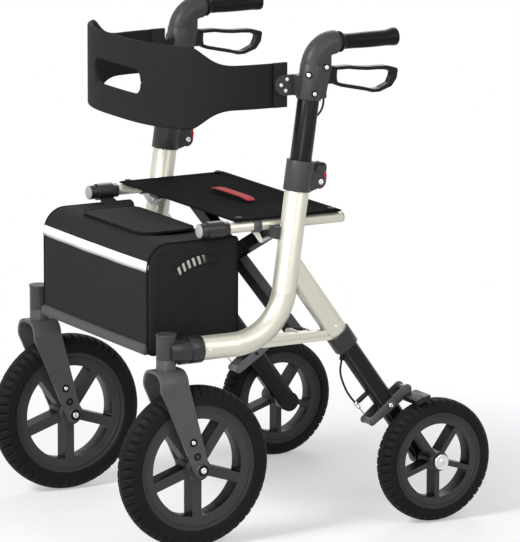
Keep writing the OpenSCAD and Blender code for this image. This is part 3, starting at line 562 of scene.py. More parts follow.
def tube_rings(line, r, sides=14):
    """Rings of a round cord along a line, without twist."""
    last = len(line) - 1
    tangent = [(line[min(i + 1, last)] - line[max(i - 1, 0)]).normalized() for i in range(last + 1)]
    side = tangent[0].orthogonal().normalized()
    rings = []
    for p, t in zip(line, tangent):
        side = (side - t * side.dot(t)).normalized()
        up = t.cross(side)
        rings.append([p + (side * cos(a) + up * sin(a)) * r for a in circle(sides)])
    return rings


def stitches(name, line, body, pitch=4.2, share=0.62, r=0.35):
    """A row of sewn stitches along a line of points."""
    line = np.array(line)
    lengths = np.concatenate([[0], np.cumsum(np.linalg.norm(np.diff(line, axis=0), axis=1))])
    points, faces = [], []
    for k in range(int(lengths[-1] / pitch)):
        a, b = [
            Vector([np.interp(k * pitch + step, lengths, line[:, c]) for c in range(3)])
            for step in (0, pitch * share)
        ]
        new, skin = loft(tube_rings([a, (a + b) / 2, b], r, 5))
        faces += [tuple(i + len(points) for i in face) for face in skin]
        points += new
    piece(name, points, faces, THREAD, body, "backrest_cloth")


# Wheels
def tyre(name, node, body, x, y, r, half, height, blocks):
    """Air tyre: a full section with a grooved sidewall and a tread of cut blocks."""
    places, cut_places = (0.0, 0.04, 0.15, 0.19, 0.44, 0.74), (1, 2)
    cut_depth, cut_side, groove_depth, slant, squareness = 3.6, 1.6, 1.9, 0.035, 2 / 2.7
    groove_in, groove_out, block_in, block_out, line_in, line_out = 0.16, 0.27, 0.30, 0.93, 0.965, 0.985
    section = np.concatenate([[0], np.linspace(0.02, pi - 0.02, 49), [pi]])
    rings = []
    for b in range(blocks):
        for k, place in enumerate(places):
            turn_at = 2 * pi * (b + place) / blocks
            ring = []
            for t in section:
                across = copysign(abs(cos(t)) ** squareness, cos(t))
                out = max(sin(t), 0) ** squareness
                lateral, deep = half * across, r - height + height * out
                shoulder = abs(across)
                if block_in < shoulder < block_out and k in cut_places:
                    deep -= cut_depth * min(1, (block_out - shoulder) * 7)
                    lateral -= copysign(cut_side, across) * (shoulder > 0.6)
                if groove_in < shoulder < groove_out:
                    deep -= groove_depth
                if line_in < shoulder < line_out:
                    lateral *= 0.972
                twist = turn_at + slant * across * (shoulder > groove_out)
                ring.append((x + lateral, y + deep * sin(twist), r + deep * cos(twist)))
            rings.append(ring)
    made = piece(name, *loft(rings, True), RUBBER, body, "tyre")
    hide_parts(node)


RIDGE = ((-2.2, -0.5), (-1.8, 0.7), (0, 1.2), (1.8, 0.7), (2.2, -0.5))
HUB_CAP = ((14.5, -3), (14.7, 0), (14.1, 1.1), (12.2, 1.4), (11.6, 0.9), (5, 1.1), (4.6, 1.7), (0, 1.8))


def wheels():
    """Treads, the moulded ridge on each face of a rim, and the bright hub caps."""
    for side, s in SIDES:
        for kind, x, y, r, half, height, blocks, ridge_r, face_x in (
            ("front", FRAME_X, FRONT_AXLE_Y, FRONT_R, 25, 33, 54, 106, 18),
            ("rear", REAR_X, REAR_AXLE_Y, REAR_R, 23, 24, 44, 82, 16.56),
        ):
            body = f"{side}_{kind}_wheel"
            tyre(f"{side}_{kind}_tread", f"{side}_{kind}_tyre", body, s * x, y, r, half, height, blocks)
            profile = [(ridge_r + d, face_x + h) for d, h in RIDGE]
            for face in (1, -1):
                name = f"{side}_{kind}_rim_ridge_{'out' if face * s > 0 else 'in'}"
                rings = turned(profile, (s * x, y, r), (face, 0, 0), 72)
                piece(name, *loft(rings, True), RIM_PLASTIC, body, "black_plastic")
        hub_end = (s * HUB_END_X, REAR_AXLE_Y, REAR_R)
        turn(f"{side}_rear_hub_cap", HUB_CAP, hub_end, (s, 0, 0), STEEL, f"{side}_frame", "steel")


# Handles
# Along the grip, then its reach up, down and across
GRIP_STATIONS = (
    (0, 15, 15, 15), (0.2, 18.6, 18.6, 18.6), (1.2, 19.5, 19.5, 19.5), (3.6, 19.5, 19.5, 19.5),
    (5.4, 18.4, 18.4, 18.2), (7.5, 15.2, 15.6, 15.2), (12, 14.0, 14.6, 14.2), (26, 13.6, 14.4, 14.2),
    (46, 14.1, 15.0, 14.8), (66, 14.6, 15.2, 15.0), (86, 14.4, 14.8, 14.8), (101, 14.6, 14.6, 15.0),
    (109, 16.2, 15.0, 16.0), (114, 17.9, 15.6, 17.0), (119, 18.2, 15.7, 17.2), (121.2, 17.2, 14.9, 16.2),
    (122, 15, 12.5, 14), (122, 6, 6, 6),
)


def grip_skin(side, s):
    """Hand grip: flange, slim waist, palm swell and a lip that rises at the rear end."""
    rings = []
    for along, up, down, across in GRIP_STATIONS:
        ring = []
        for a in circle(36):
            ridge = 0.28 * cos(along * 1.25) if 16 < along < 100 and sin(a) < 0.2 else 0
            tall = (up if sin(a) > 0 else down) + ridge
            ring.append((s * FRAME_X + s * (across + ridge) * cos(a), GRIP_Y + along,
                         GRIP_Z + tall * sin(a)))
        rings.append(ring)
    made = piece(f"{side}_grip_sleeve", *loft(rings), GRIP_RUBBER, f"{side}_handle", "grip_rubber", soft=True)
    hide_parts(f"{side}_grip")


def leg_point(along, out=0.0):
    """(y, z) of a point on the rear leg: along it from its top, and out towards its front face."""
    return (LEG_TOP[0] + along * sin(LEG_ANGLE) - out * cos(LEG_ANGLE),
            LEG_TOP[1] - along * cos(LEG_ANGLE) - out * sin(LEG_ANGLE))


LEVER_LOOP_BACK, LEVER_LOOP_DROP = 31.8, 36.48
LEVER_ROUTE = [
    (post_y(HOUSING_Z) + LEVER_LOOP_BACK * back, HOUSING_Z - LEVER_LOOP_DROP * drop)
    for back, drop in ((1, 0), (0.99, 0.2), (0.94, 0.42), (0.83, 0.63), (0.66, 0.8), (0.45, 0.94), (0.28, 1))
]
LEG_LOOP_FROM, LEG_LOOP_LEN, LEG_FACE, LEG_LOOP_BOW = 227, 85, 19.1, 30.6
LEG_ROUTE = [
    leg_point(LEG_LOOP_FROM + LEG_LOOP_LEN * along, LEG_FACE + LEG_LOOP_BOW * bow)
    for along, bow in (
        (0, 0.14), (0.06, 0.31), (0.16, 0.57), (0.3, 0.77), (0.47, 0.9), (0.65, 0.99), (0.83, 1), (1, 0.97),
    )
]
ADJUSTER = (
    (2.4, -1), (3.2, 0), (4, 0.6), (4, 5), (3.1, 5.4), (3.1, 6.6), (4, 7), (4, 12), (3.4, 13),
    (2, 16), (1, 16.4), (1, 35.5), (0, 35.8),
)


def cables():
    """Brake cables: one loops from the lever into the post, one comes out of the leg down to the brake."""
    for side, s in SIDES:
        for name, node, route, body in (
            (f"{side}_upper_cable", f"{side}_lever_cable", LEVER_ROUTE, f"{side}_handle"),
            (f"{side}_lower_cable", f"{side}_leg_cable", LEG_ROUTE, f"{side}_frame"),
        ):
            line = smooth_route([(s * FRAME_X, y, z) for y, z in route])
            made = piece(name, *loft(tube_rings(line, CABLE_D / 2)), SHEATH, body, "cable_black")
            length = sum((b - a).length for a, b in zip(line, line[1:])) * MM
            path = [[c * MM for c in p] for p in line]
            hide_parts(node)
        before, start = [Vector((s * FRAME_X, *p)) for p in LEG_ROUTE[-2:]]
        down = (start - before).normalized()
        turn(f"{side}_cable_adjuster", ADJUSTER, start, down, STEEL, f"{side}_frame", "steel", 24)


# Fasteners and trim
OUT, IN = (1, 0, 0), (-1, 0, 0)
DISH_FLOOR = 0.4
RAIL_PLUG = ((0.9, -1.5), (0.985, 0), (0.985, 1.0), (0.9, 2.2), (0.6, 3.0), (0, 3.3))


def screw_pair(name, half, place, *sizes):
    """Rows of fasteners() for the outer and the inner end of a cross hole."""
    ends = (("out", OUT), ("in", IN))
    return [(f"{name}_{end}", (FRAME_X + way[0] * half, *place), way, *sizes) for end, way in ends]


def fasteners():
    """Screws and rivets where the photograph shows them, each on the face that carries it."""
    for side, s in SIDES:
        hold, handle, caster, rail = f"{side}_frame", f"{side}_handle", f"{side}_caster", RAIL_BODY[side]
        axle_in, axle_out = sorted(abs(corner[0]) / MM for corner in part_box(f"{side}_front_axle"))
        for name, place, way, r, h, dish_r, body in (
            ("lever_screw", (270, *LEVER_PIN), OUT, 4.4, 2.4, 6.6, handle),
            ("housing_screw_high", (268.67, 4.0, 853.1), (0.726, -0.681, 0.096), 4.2, 2.2, 6.6, handle),
            ("housing_screw_low", (274.8, 12.9, 818.6), (0.995, -0.09, 0.01), 4.0, 2.0, 6.2, handle),
            ("bracket_rivet_high", (242, -25.7, 844), OUT, 3.8, 2.0, 0, handle),
            ("bracket_rivet_fore", (242, -38, 834), OUT, 3.8, 2.0, 0, handle),
            ("bracket_rivet_low", (242, -28.7, 823.5), OUT, 3.8, 2.0, 0, handle),
            ("tube_rivet", (274.2, -200, 367), OUT, 3.4, 1.5, 0, hold),
            ("leg_rivet", (267, 66, 382.5), OUT, 3.6, 1.6, 0, hold),
            *screw_pair("fork_screw", 36, (-243.6, 202.7), 4.0, 2.4, 7.6, caster),
            *screw_pair("fork_plug", 36, (-235.3, 175.7), 3.4, 1.4, 7.2, caster),
            *screw_pair("axle_nut", (axle_out - axle_in) / 2, (FRONT_AXLE_Y, FRONT_R), 6.0, 3.0, 10.6, caster),
            ("brake_screw", (270.4, 182.95, 221.07), OUT, 5.0, 2.4, 0, f"{side}_brake"),
            *screw_pair("clamp_screw", 13.3, CLAMP_PIN, 5.4, 2.6, 0, hold),
        ):
            centre, way = Vector((s * place[0], *place[1:])), Vector((s * way[0], *way[1:])).normalized()
            # The black dish stands in for the shade in the recess round a screw: painted shade.
            if dish_r:
                recess_shade_dish(f"{side}_{name}_dish", centre, way, dish_r, body)
                centre = centre + way * DISH_FLOOR
            finish, slot = (GREY_PLASTIC, "black_plastic") if "plug" in name else (STEEL, "steel")
            screw(f"{side}_{name}", centre, way, r, h, body, finish, slot)
        clamp_trim(side, s)
        for end, y, way, r in (("front", -192.3, -1, 13), ("rear", 104.7, 1, 10)):
            profile = [(r * share, h) for share, h in RAIL_PLUG]
            turn(f"{side}_rail_{end}_plug", profile, (s * RAIL_X, y, RAIL_Z), (0, way, 0), PALE_PLASTIC, rail)
        seat_spring(side, s, rail)


def clamp_trim(side, s):
    """Red edge clip round the rear foot of the clamp lever."""
    root_r, tip_r, tip = 12.32, 9.52, (2.0, 25.76)
    section = ((-8.9, -0.8), (-8.9, 1.5), (-8.2, 2.0), (8.2, 2.0), (8.9, 1.5), (8.9, -0.8))
    flank = atan2(tip[1], tip[0]) - acos((root_r - tip_r) / hypot(*tip))
    path = [(0, 0, root_r, radians(a)) for a in range(-80, 2, 6)] + [
        (tip[0] * k, tip[1] * k, root_r + (tip_r - root_r) * k, flank) for k in (0.0, 0.2, 0.4, 0.55)
    ]
    rings = []
    for py, pz, r, a in path:
        ring = []
        for w, lift in section:
            y, z = py + (r + lift) * cos(a), pz + (r + lift) * sin(a)
            ring.append((s * FRAME_X + w, CLAMP_PIN[0] + y * cos(LEAN) + z * sin(LEAN),
                         CLAMP_PIN[1] - y * sin(LEAN) + z * cos(LEAN)))
        rings.append(ring)
    piece(f"{side}_clamp_red_trim", *loft(rings), RED_PLASTIC, f"{side}_clamp", "red_webbing", smooth=False)


def seat_spring(side, s, rail):
    """Clip on the seat rail with the coil spring that holds the seat open."""
    x = s * RAIL_X
    clip_rings = ((-84, 11.8), (-83.2, 12.6), (-68.8, 12.6), (-68, 11.8))
    rings = [[(x + r * cos(a), y, RAIL_Z + r * sin(a)) for a in circle(32)] for y, r in clip_rings]
    piece(f"{side}_spring_clip", *loft(rings), GREY_METAL, rail, "black_plastic")
    outline = [(-83, 566), (-69, 566), (-60, 549), (-57.5, 543), (-61, 540.5), (-65.5, 543), (-75, 556)]
    plates = [[(x - s * w, y, z) for y, z in outline] for w in (3, 6)]
    piece(f"{side}_spring_tab", *loft(plates), STEEL, rail, "steel", smooth=False)
    turns, per_turn, coil_r, wire_r = 12, 14, 3.4, 0.75
    start, end = Vector((x - s * 4.5, -61, 544)), Vector((x - s * 4.5, -37, 553.5))
    across = Vector((1, 0, 0))
    up = (end - start).normalized().cross(across).normalized()
    coil = []
    for k in range(turns * per_turn + 1):
        a, u = 2 * pi * k / per_turn, k / (turns * per_turn)
        coil.append(start.lerp(end, 0.12 + 0.76 * u) + (up * cos(a) + across * sin(a)) * coil_r)
    rings = tube_rings([start, *coil, end], wire_r, 7)
    piece(f"{side}_seat_spring", *loft(rings), STEEL, rail, "steel")


# Backrest
def band_line(count):
    """Distance from the middle, place and inward normal of plan points along the band, right end to left."""
    b = BAND
    t0 = asin(((b["end"] - b["hinge"]) / b["depth"]) ** 1.5)
    fine = np.linspace(t0, pi - t0, 4001)
    c, bow = np.cos(fine), np.sin(fine) ** (2 / 3)
    plan = np.stack([-b["x"] * np.sign(c) * np.abs(c) ** (2 / 3), b["end"] - b["depth"] * bow], 1)
    length = np.concatenate([[0], np.cumsum(np.linalg.norm(np.diff(plan, axis=0), axis=1))])
    total = length[-1]
    window = b["window"][0] / 2
    extra = np.concatenate([np.linspace(window - 24, window, 14), [window - 0.3, window + 0.4]])
    s = np.unique(np.round(np.concatenate([np.linspace(-1, 1, count) * total / 2, extra, -extra]), 3))

    def at(step):
        far = np.clip(s + total / 2 + step, 0, total)
        return np.stack([np.interp(far, length, plan[:, k]) for k in (0, 1)], 1)

    way = at(2) - at(-2)
    way /= np.linalg.norm(way, axis=1)[:, None]
    return s, at(0), np.stack([-way[:, 1], way[:, 0]], 1)


def band_half_height(x):
    """Half the height of the band: low at its ends, tall in front."""
    b = BAND
    k = min(1, max(0, (abs(x) / b["x"] - 0.80) / 0.17))
    grow = (1 - cos(pi * k)) / 2
    return (b["end_h"] + (b["mid_h"] - b["end_h"]) * (1 - grow)) / 2


def window_half_height(s):
    """Half the height of the hand window at a distance from its middle."""
    w, h = BAND["window"]
    r = h / 2 - 0.5
    flat = w / 2 - r
    if abs(s) >= w / 2:
        return 0.0
    return h / 2 if abs(s) <= flat else sqrt(max(r * r - (abs(s) - flat) ** 2, 0)) * (h / 2 / r)


BAND_ROWS = (0, 0.015, 0.04, 0.08, 0.16, 0.3, 0.5, 0.7, 0.84, 0.92, 0.96, 0.985, 1)
SEAM_IN = 9


def backrest():
    """One padded band: two skins that meet round the edge and round the hand window, sewn along both."""
    ease, pad, seam_depth, seam_w = 4.5, 1.2, 0.7, 1.3
    s_at, places, normals = band_line(121)
    half_len, half_window = s_at[-1], BAND["window"][0] / 2
    points, faces, index = [], [], {}

    def corner(i, part, k, skin):
        far, low, high = abs(s_at[i]), window_half_height(s_at[i]), band_half_height(places[i][0])
        closed = low <= 0.01
        z = low + (high - low) * BAND_ROWS[k]
        edge = min(high - z, 1e9 if closed else z - low, half_len - far)
        if closed and far < half_window + 8:
            edge = min(edge, hypot(far - half_window, z))
        puff = sqrt(max(0, 1 - (1 - min(edge, ease) / ease) ** 2))
        seam = seam_depth * exp(-((edge - SEAM_IN) / seam_w) ** 2)
        thick = (BAND["t"] / 2 + pad - seam) * puff
        if skin and puff < 1e-6:
            skin = 0
        key = (i, 0 if closed and k == 0 else part, k, skin)
        if key not in index:
            x, y = places[i] + normals[i] * (BAND["t"] / 2 + (thick if skin else -thick))
            index[key] = len(points)
            points.append((x, y, BAND["z"] + part * z))
        return index[key]

    for i in range(len(s_at) - 1):
        for part in (1, -1):
            for k in range(len(BAND_ROWS) - 1):
                for skin in (0, 1):
                    quad = [corner(i, part, k, skin), corner(i + 1, part, k, skin),
                            corner(i + 1, part, k + 1, skin), corner(i, part, k + 1, skin)]
                    quad = list(dict.fromkeys(quad))
                    if len(quad) > 2:
                        faces.append(tuple(quad if (part > 0) == (skin == 0) else quad[::-1]))
    made = piece("backrest_band", points, faces, BAND_CLOTH, None, "backrest_cloth")
    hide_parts("backrest_left", "backrest_right")
    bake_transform(made)
    for half, sign in SIDES:
        for edge, way in (("top", 1), ("bottom", -1)):
            line = []
            for far, place, normal in zip(np.abs(s_at), places, normals):
                if place[0] * sign > 58 and half_len - far > 6:
                    x, y = place - normal * 0.75
                    line.append((x, y, BAND["z"] + way * (band_half_height(place[0]) - SEAM_IN)))
            stitches(f"backrest_{half}_{edge}_stitch", line, f"backrest_{half}_half")


SEAT_SNAP = ((6.8, -0.8), (6.8, 1.6), (6.3, 2.8), (4.8, 3.4), (4.4, 3.0), (2.8, 3.0), (2.4, 3.5), (0, 3.7))


def seat():
    """Taut cloth panel laid on the rails, a little slack in the middle, with a turned hem."""
    half, front, back, hem_w = 225, -124.3, 101.7, 15
    round_r, thick_up, thick_down, hem_t, slack = 2.4, 1.6, 1.4, 0.9, 3.2

    def stations(low, high, count, rims):
        near_edges = [end for rim in rims for end in (low + rim, high - rim)]
        return np.unique(np.concatenate([np.linspace(low, high, count), near_edges]))

    def at(x, y, top):
        edge = min(half - abs(x), y - front, back - y)
        round_off = sqrt(max(0, 1 - (1 - min(edge, round_r) / round_r) ** 2))
        hem = hem_t if edge < hem_w else 0.0
        inside = max(0, 1 - (x / 200) ** 2) * max(0, 1 - ((y + 11) / 118) ** 2)
        ripple = 0.5 * sin(x / 23) * sin(y / 41 + 1) * inside
        mid = SEAT_Z + 2.5 - slack * inside + ripple
        return mid + (thick_up + hem) * round_off if top else mid - (thick_down + 0.3 * hem) * round_off

    xs = stations(-half, half, 41, (3, hem_w - 1, hem_w + 1))
    ys = stations(front, back, 25, (2.5, hem_w - 1, hem_w + 1))
    points, faces = [], []
    for top in (1, 0):
        base = len(points)
        points += [(x, y, at(x, y, top)) for x in xs for y in ys]
        for i, j, m, n in grid_faces(len(xs), len(ys), False, False):
            quad = (i + base, n + base, m + base, j + base)
            faces.append(quad if top else quad[::-1])
    made = piece("seat_cloth", points, faces, SEAT_CLOTH, None, "black_cloth")
    weld = made.modifiers.new("weld", "WELD")
    weld.merge_threshold = 1e-5
    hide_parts("seat_panel")
    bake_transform(made)
    for side, s in SIDES:
        for k, y in enumerate((-110, 84)):
            name, place = f"{side}_seat_snap_{k}", (s * (RAIL_X - 2), y, SEAT_Z + 5)
            turn(name, SEAT_SNAP, place, (0, 0, 1), BLACK_PLASTIC, RAIL_BODY[side], "black_plastic", 32)


def pull_strap():
    """Red webbing sewn down at both ends, standing off the seat between them."""
    half_len, half_w, y, low, steps = 72, 10.2, -3.3, SEAT_Z + 3.6, 48
    section = ((-1, 0.3), (-1, 1.2), (-0.9, 1.9), (0, 2.1), (0.9, 1.9), (1, 1.2), (1, 0.3), (0, 0.1))
    rings = []
    for k in range(steps + 1):
        u = -1 + 2 * k / steps
        z = low + 0.8 + 4.2 * max(0, 1 - abs(u) ** 6)
        w = half_w * (1 - 0.25 * max(0, abs(u) - 0.93) / 0.07)
        rings.append([(half_len * u, y + w * a, z + b) for a, b in section])
    made = piece("red_pull_strap", *loft(rings), RED_WEBBING, None, "red_webbing", soft=True)
    bake(made)
    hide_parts("seat_pull_strap")
    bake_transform(made)


# Bag
BAG_BACK = 1.5
LOOP_SECTION = (
    (13.7, -177.8), (15.0, -178), (15.6, -177.4), (15.6, -176),
    (15.6, -146.5), (15.6, -145.1), (15.0, -144.5), (13.7, -144.7),
)
TAB_SECTION = (
    (172, 552.8), (190, 556.4), (202, 559.2), (209, 563),
    (203.4, 565), (196, 561.8), (186, 559.6), (172, 557.8),
)
HANDLE_LINE = ((-237, 497), (-230, 505), (-214, 514), (-195, 520), (-177, 522), (-162, 519), (-151, 511))
HANDLE_SECTION = ((-1, 0), (-0.9, 1.2), (0, 1.7), (0.9, 1.2), (1, 0), (0, -0.6))
LID_STEPS = (
    (1.0, 0.2), (1.0, 1.6), (0.985, 2.9), (0.95, 3.4), (0.85, 3.2), (0.65, 2.6), (0.4, 2.0), (0.15, 1.8),
    (0.02, 1.8),
)


def corner_arc(cx, cy, r, from_angle, count):
    """Points of a quarter circle."""
    angles = [radians(from_angle + 90 * k / (count - 1)) for k in range(count)]
    return [(cx + r * cos(a), cy + r * sin(a)) for a in angles]


def bag_corners(inset):
    """(y, z) points of the rounded corners of the bag's side outline, large round at the top front."""
    b = BAG
    line = []
    for y, z, r, from_angle in (
        (b["front"] + inset, b["low"] + inset, 16, 180), (b["back"] - inset, b["low"] + inset, 14, 270),
        (b["back"] - inset, b["high"] - inset, 9, 0), (b["front"] + inset, b["high"] - inset, b["round"], 90),
    ):
        r = max(r - inset, 2)
        cy = y + r if from_angle in (90, 180) else y - r
        cz = z + r if from_angle in (180, 270) else z - r
        line += corner_arc(cy, cz, r, from_angle, 12)
    return line


def bag_outline(inset=0.0, pitch=13):
    """Points all round the bag's side outline: the same number at every inset."""
    outer, line = bag_corners(0.0), bag_corners(inset)
    even = []
    for k, p in enumerate(line):
        q, far = line[(k + 1) % len(line)], dist(outer[k], outer[(k + 1) % len(outer)])
        n = max(1, round(far / pitch))
        even += [(p[0] + (q[0] - p[0]) * i / n, p[1] + (q[1] - p[1]) * i / n) for i in range(n)]
    return even


def bag_swell(x, y, z):
    """Slack of the bag: front and sides belly out a little between their seams, the back panel hangs in."""
    front_out, side_out, top_sag, crease_deep, rear_in, seam_from = 5.0, 6.5, 5.5, 0.9, 22, 0.95
    b = BAG
    up = (z - b["low"]) / (b["high"] - b["low"])
    back = (y - b["front"]) / (b["back"] - b["front"])
    out = abs(x) / b["half"]
    belly = max(0, 4 * up * (1 - up)) ** 0.8
    front = front_out * (1 - out ** 2.6) * belly * max(0, 1 - back * 1.6)
    side = side_out * belly * max(0, 4 * back * (1 - back)) ** 0.7 * max(0, out - 0.55) / 0.45
    sag = top_sag * (1 - out ** 3) * max(0, up - 0.8) / 0.2 * max(0, min(1, back * 3 - 0.4))
    crease = crease_deep * sin(x * 0.045 + z * 0.03) * sin(z * 0.052 + y * 0.02) * belly
    rear = min(1, max(0, (back - 0.82) / 0.18))
    hang = rear_in * max(0, 1 - (out / seam_from) ** 8) * rear * rear * (3 - 2 * rear)
    return copysign(side, x), -front - hang - crease * (1 if back < 0.3 else 0.2), crease * 0.3 - sag


def bag_trim(made):
    """Bakes a cloth piece of the bag into a mesh of its own."""
    bake(made)
    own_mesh(made)


def bag_skin():
    """Rings of the bag, from the middle of its right side panel over the wrap to that of the left one."""
    b = BAG
    right = [-b["half"], -206.2, -203, -197, -188, -172, -150, -125, -100, -75, -50, -25]
    insets = {b["half"]: 10.5, 206.2: 5.5, 203: 1.8, 197: 0.2}
    rings = []
    for x in right + [0] + [-x for x in right[::-1]]:
        ring = []
        for y, z in bag_outline(insets.get(abs(x), 0.0)):
            dx, dy, dz = bag_swell(x, y, z)
            ring.append((x + dx * 0.35, y + dy + BAG_BACK, z + dz))
        rings.append(ring)
    cy, cz = (b["front"] + b["back"]) / 2, (b["low"] + b["high"]) / 2
    panels = []
    for s, seam in ((-1, rings[0]), (1, rings[-1])):
        panel = []
        for share in (0.96, 0.9, 0.8, 0.66, 0.5, 0.32, 0.14, 0.03):
            flat = [(cy + (y - cy) * share, cz + (z - cz) * share) for _, y, z in seam]
            out = [b["half"] + 0.2 + abs(bag_swell(s * b["half"], y, z)[0]) * 0.55 for y, z in flat]
            panel.append([(s * x, y, z) for x, (y, z) in zip(out, flat)])
        panels.append(panel)
    return panels[0][::-1] + rings + panels[1]


def bag_strip(name, low, high, finish, lift, reach=206.0, depth=6):
    """A tape or roll across the front of the bag."""
    rows = []
    heights = np.linspace(low, high, 7)
    for x in np.linspace(-reach, reach, 37):
        row = []
        for z in heights:
            bulge = lift * sqrt(max(0.02, 1 - (2 * (z - low) / (high - low) - 1) ** 2))
            row.append((x, BAG["front"] + bag_swell(x, BAG["front"], z)[1] + BAG_BACK - bulge, z))
        rows.append(row + [(x, row[0][1] + depth, z) for z in heights[::-1]])
    bag_trim(piece(name, *loft(rows), finish, "bag", soft=True))


def bag():
    """Cloth shell hung on two loops, with its tape, base roll, piping, side handles and lid."""
    shell = piece("bag_cloth_shell", *loft(bag_skin()), BAG_CLOTH, None, "black_cloth")
    settle_cloth(shell)
    rounded(shell)
    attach(shell, "bag")
    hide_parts("bag_shell")
    bake(shell)
    open_mouth(shell)
    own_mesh(shell)
    bag_strip("bag_reflective_tape", 505, 526, REFLECTOR, 0.9)
    bag_strip("bag_base_roll", 352.5, 374, BASE_TAPE, 7.5)
    for side, s in SIDES:
        seam_x = s * (BAG_SEAM_X + 0.1)
        seam = [Vector((seam_x, y + (0.6 if y > -200 else -0.6) + BAG_BACK, z)) for y, z in bag_outline(2.2)]
        bag_trim(piece(f"bag_{side}_seam_piping", *loft(tube_rings(seam, 1.7, 8), True), PIPING, "bag"))
        rings = [
            [(s * RAIL_X + r * cos(a), y, RAIL_Z + r * sin(a)) for r, y in LOOP_SECTION]
            for a in circle(40)
        ]
        piece(f"bag_{side}_loop", *loft(rings, True), COLLAR_PLASTIC, RAIL_BODY[side], "black_plastic")
        rows = [[(s * x, y, z) for x, z in TAB_SECTION] for y in np.linspace(-177, -145.5, 7)]
        bag_trim(piece(f"bag_{side}_loop_tab", *loft(rows), BAG_CLOTH, "bag", soft=True))
        side_handle(side, s)
    bag_lid()


def open_mouth(shell):
    """Cuts the mouth under the lid out of the baked shell and gives the cloth its thickness."""
    half_x, front, back, above, thickness = 0.1125, -0.25, -0.155, 0.545, 0.0018
    mesh = bmesh.new()
    mesh.from_mesh(shell.data)
    mouth = []
    for face in mesh.faces:
        x, y, z = face.calc_center_median()
        if z > above and abs(x) < half_x and front < y < back:
            mouth.append(face)
    bmesh.ops.delete(mesh, geom=mouth, context="FACES")
    mesh.to_mesh(shell.data)
    mesh.free()
    cloth = shell.modifiers.new("cloth_thickness", "SOLIDIFY")
    cloth.thickness, cloth.offset = thickness, -1
    bake(shell)


def side_handle(side, s):
    """Arched grab handle of webbing near the top of the side panel."""
    panel_x, half_w = 211.5, 9.0
    route = smooth_route([(s * panel_x, y, z) for y, z in HANDLE_LINE], 6)
    last = len(route) - 1
    rings = []
    for k, p in enumerate(route):
        t = (route[min(k + 1, last)] - route[max(k - 1, 0)]).normalized()
        up = Vector((s, 0, 0)).cross(t)
        w = half_w * sqrt(max(0.05, 1 - (2 * k / last - 1) ** 4))
        rings.append([p + up * w * a + Vector((s * b, 0, 0)) for a, b in HANDLE_SECTION])
    bag_trim(piece(f"bag_{side}_side_handle", *loft(rings), HANDLE_WEB, "bag", soft=True))


def bag_lid():
    """Padded lid over the mouth, piped round its edge, hinged at the back."""
    r, cy, pipe_z, pipe_r = LID["round"], LID["y"], 561.0, 1.5
    outline = []
    for qx, qy, from_angle in ((1, 1, 0), (-1, 1, 90), (-1, -1, 180), (1, -1, 270)):
        outline += corner_arc(qx * (LID["half_x"] - r), qy * (LID["half_y"] - r), r, from_angle, 9)
    rings = [
        [(x * share, cy + y * share, LID["z"] + lift - 1.2 * (1 - share)) for x, y in outline]
        for share, lift in LID_STEPS
    ]
    made = piece("bag_lid_cloth", *loft(rings), BAG_CLOTH, "bag_lid")
    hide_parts("bag_flap")
    bag_trim(made)
    edge = [Vector((x * 0.992, cy + y * 0.99, pipe_z)) for x, y in outline]
    bag_trim(piece("bag_lid_piping", *loft(tube_rings(edge, pipe_r, 8), True), PIPING, "bag_lid"))


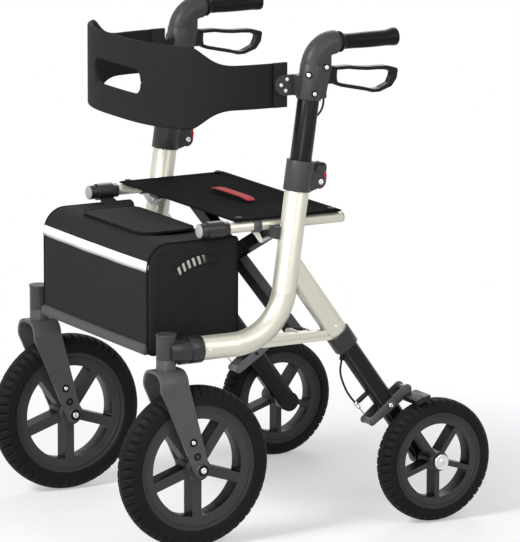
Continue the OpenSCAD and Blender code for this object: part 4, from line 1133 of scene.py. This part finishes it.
def settle_cloth(made, frames=14, cap=0.003):
    """Blows the panels up a little as cloth between their sewn edges; no point moves more than the cap."""
    start = np.array([v.co for v in made.data.vertices])
    x, y, z = np.abs(start[:, 0]), start[:, 1], start[:, 2]
    wrap, side = x < 0.19, (x > 0.2072) & (y > -0.28) & (y < -0.125)
    free = (z > 0.385) & (z < 0.488) & (wrap | side)
    sewn = made.vertex_groups.new(name="sewn")
    sewn.add([int(k) for k in np.flatnonzero(~free)], 1.0, "REPLACE")
    cloth = made.modifiers.new("cloth", "CLOTH")
    for key, value in dict(
        vertex_group_mass=sewn.name, quality=5, use_pressure=True, uniform_pressure_force=1.6,
        tension_stiffness=40, compression_stiffness=40, bending_stiffness=2,
    ).items():
        setattr(cloth.settings, key, value)
    cloth.settings.effector_weights.gravity = 0
    cloth.collision_settings.use_self_collision = False
    for f in range(1, frames + 1):
        SCENE.frame_set(f)
    settled = made.evaluated_get(bpy.context.evaluated_depsgraph_get()).to_mesh()
    move = np.array([v.co for v in settled.vertices]) - start
    far = np.linalg.norm(move, axis=1)
    move *= np.minimum(1, cap / np.maximum(far, 1e-9))[:, None]
    made.modifiers.remove(cloth)
    made.vertex_groups.clear()
    made.data.vertices.foreach_set("co", (start + move).ravel())
    made.data.update()
    SCENE.frame_set(1)


# Studio
LAMPS = (
    ("key_lamp", (0.6, -2.9, 2.6), 1.1, 112),
    ("side_lamp", (3.0, 0.6, 2.2), 1.8, 26),
    ("front_lamp", (2.6, -2.1, 1.0), 1.2, 26),
    ("back_lamp", (-2.2, 1.8, 2.4), 1.6, 26),
)


def studio():
    """White surroundings, a pale floor that fades into them, and four soft lamps."""
    light_level, floor_reach, floor_z = 0.34, 9000, -0.3
    world = bpy.data.worlds.new("studio_white")
    SCENE.world = world
    world.use_nodes = True
    g = Graph(world.node_tree, "ShaderNodeOutputWorld")
    light, white = [
        g.node("ShaderNodeBackground", {"Color": WHITE, "Strength": level}) for level in (light_level, 1.0)
    ]
    g.show(g.node("ShaderNodeMixShader", (g.seen(), light, white)))
    f = Finish("pale_floor")
    f.set(base_color=paint("#F4F4F4"), roughness=0.9, gloss=0.1)
    glow = f.node("ShaderNodeEmission", {"Color": WHITE, "Strength": 1.0})
    x, y, _ = f.axes()
    fade = f.ramp((x * x + y * y).maths("SQRT"), 0.5, 1.05, 0.38)
    f.show(f.node("ShaderNodeMixShader", (f.seen() * fade, f.surface, glow)))
    corners = [(a * floor_reach, b * floor_reach, floor_z) for a, b in ((-1, -1), (1, -1), (1, 1), (-1, 1))]
    piece("studio_floor", corners, [(0, 1, 2, 3)], f.material, None)
    for lamp in LAMPS:
        soft_lamp(*lamp)


photo_camera()
SCENE.view_settings.view_transform = "Standard"
cables()
dress_frame()
wheels()
for side_name, side_sign in SIDES:
    grip_skin(side_name, side_sign)
fasteners()
backrest()
seat()
pull_strap()
bag()
studio()
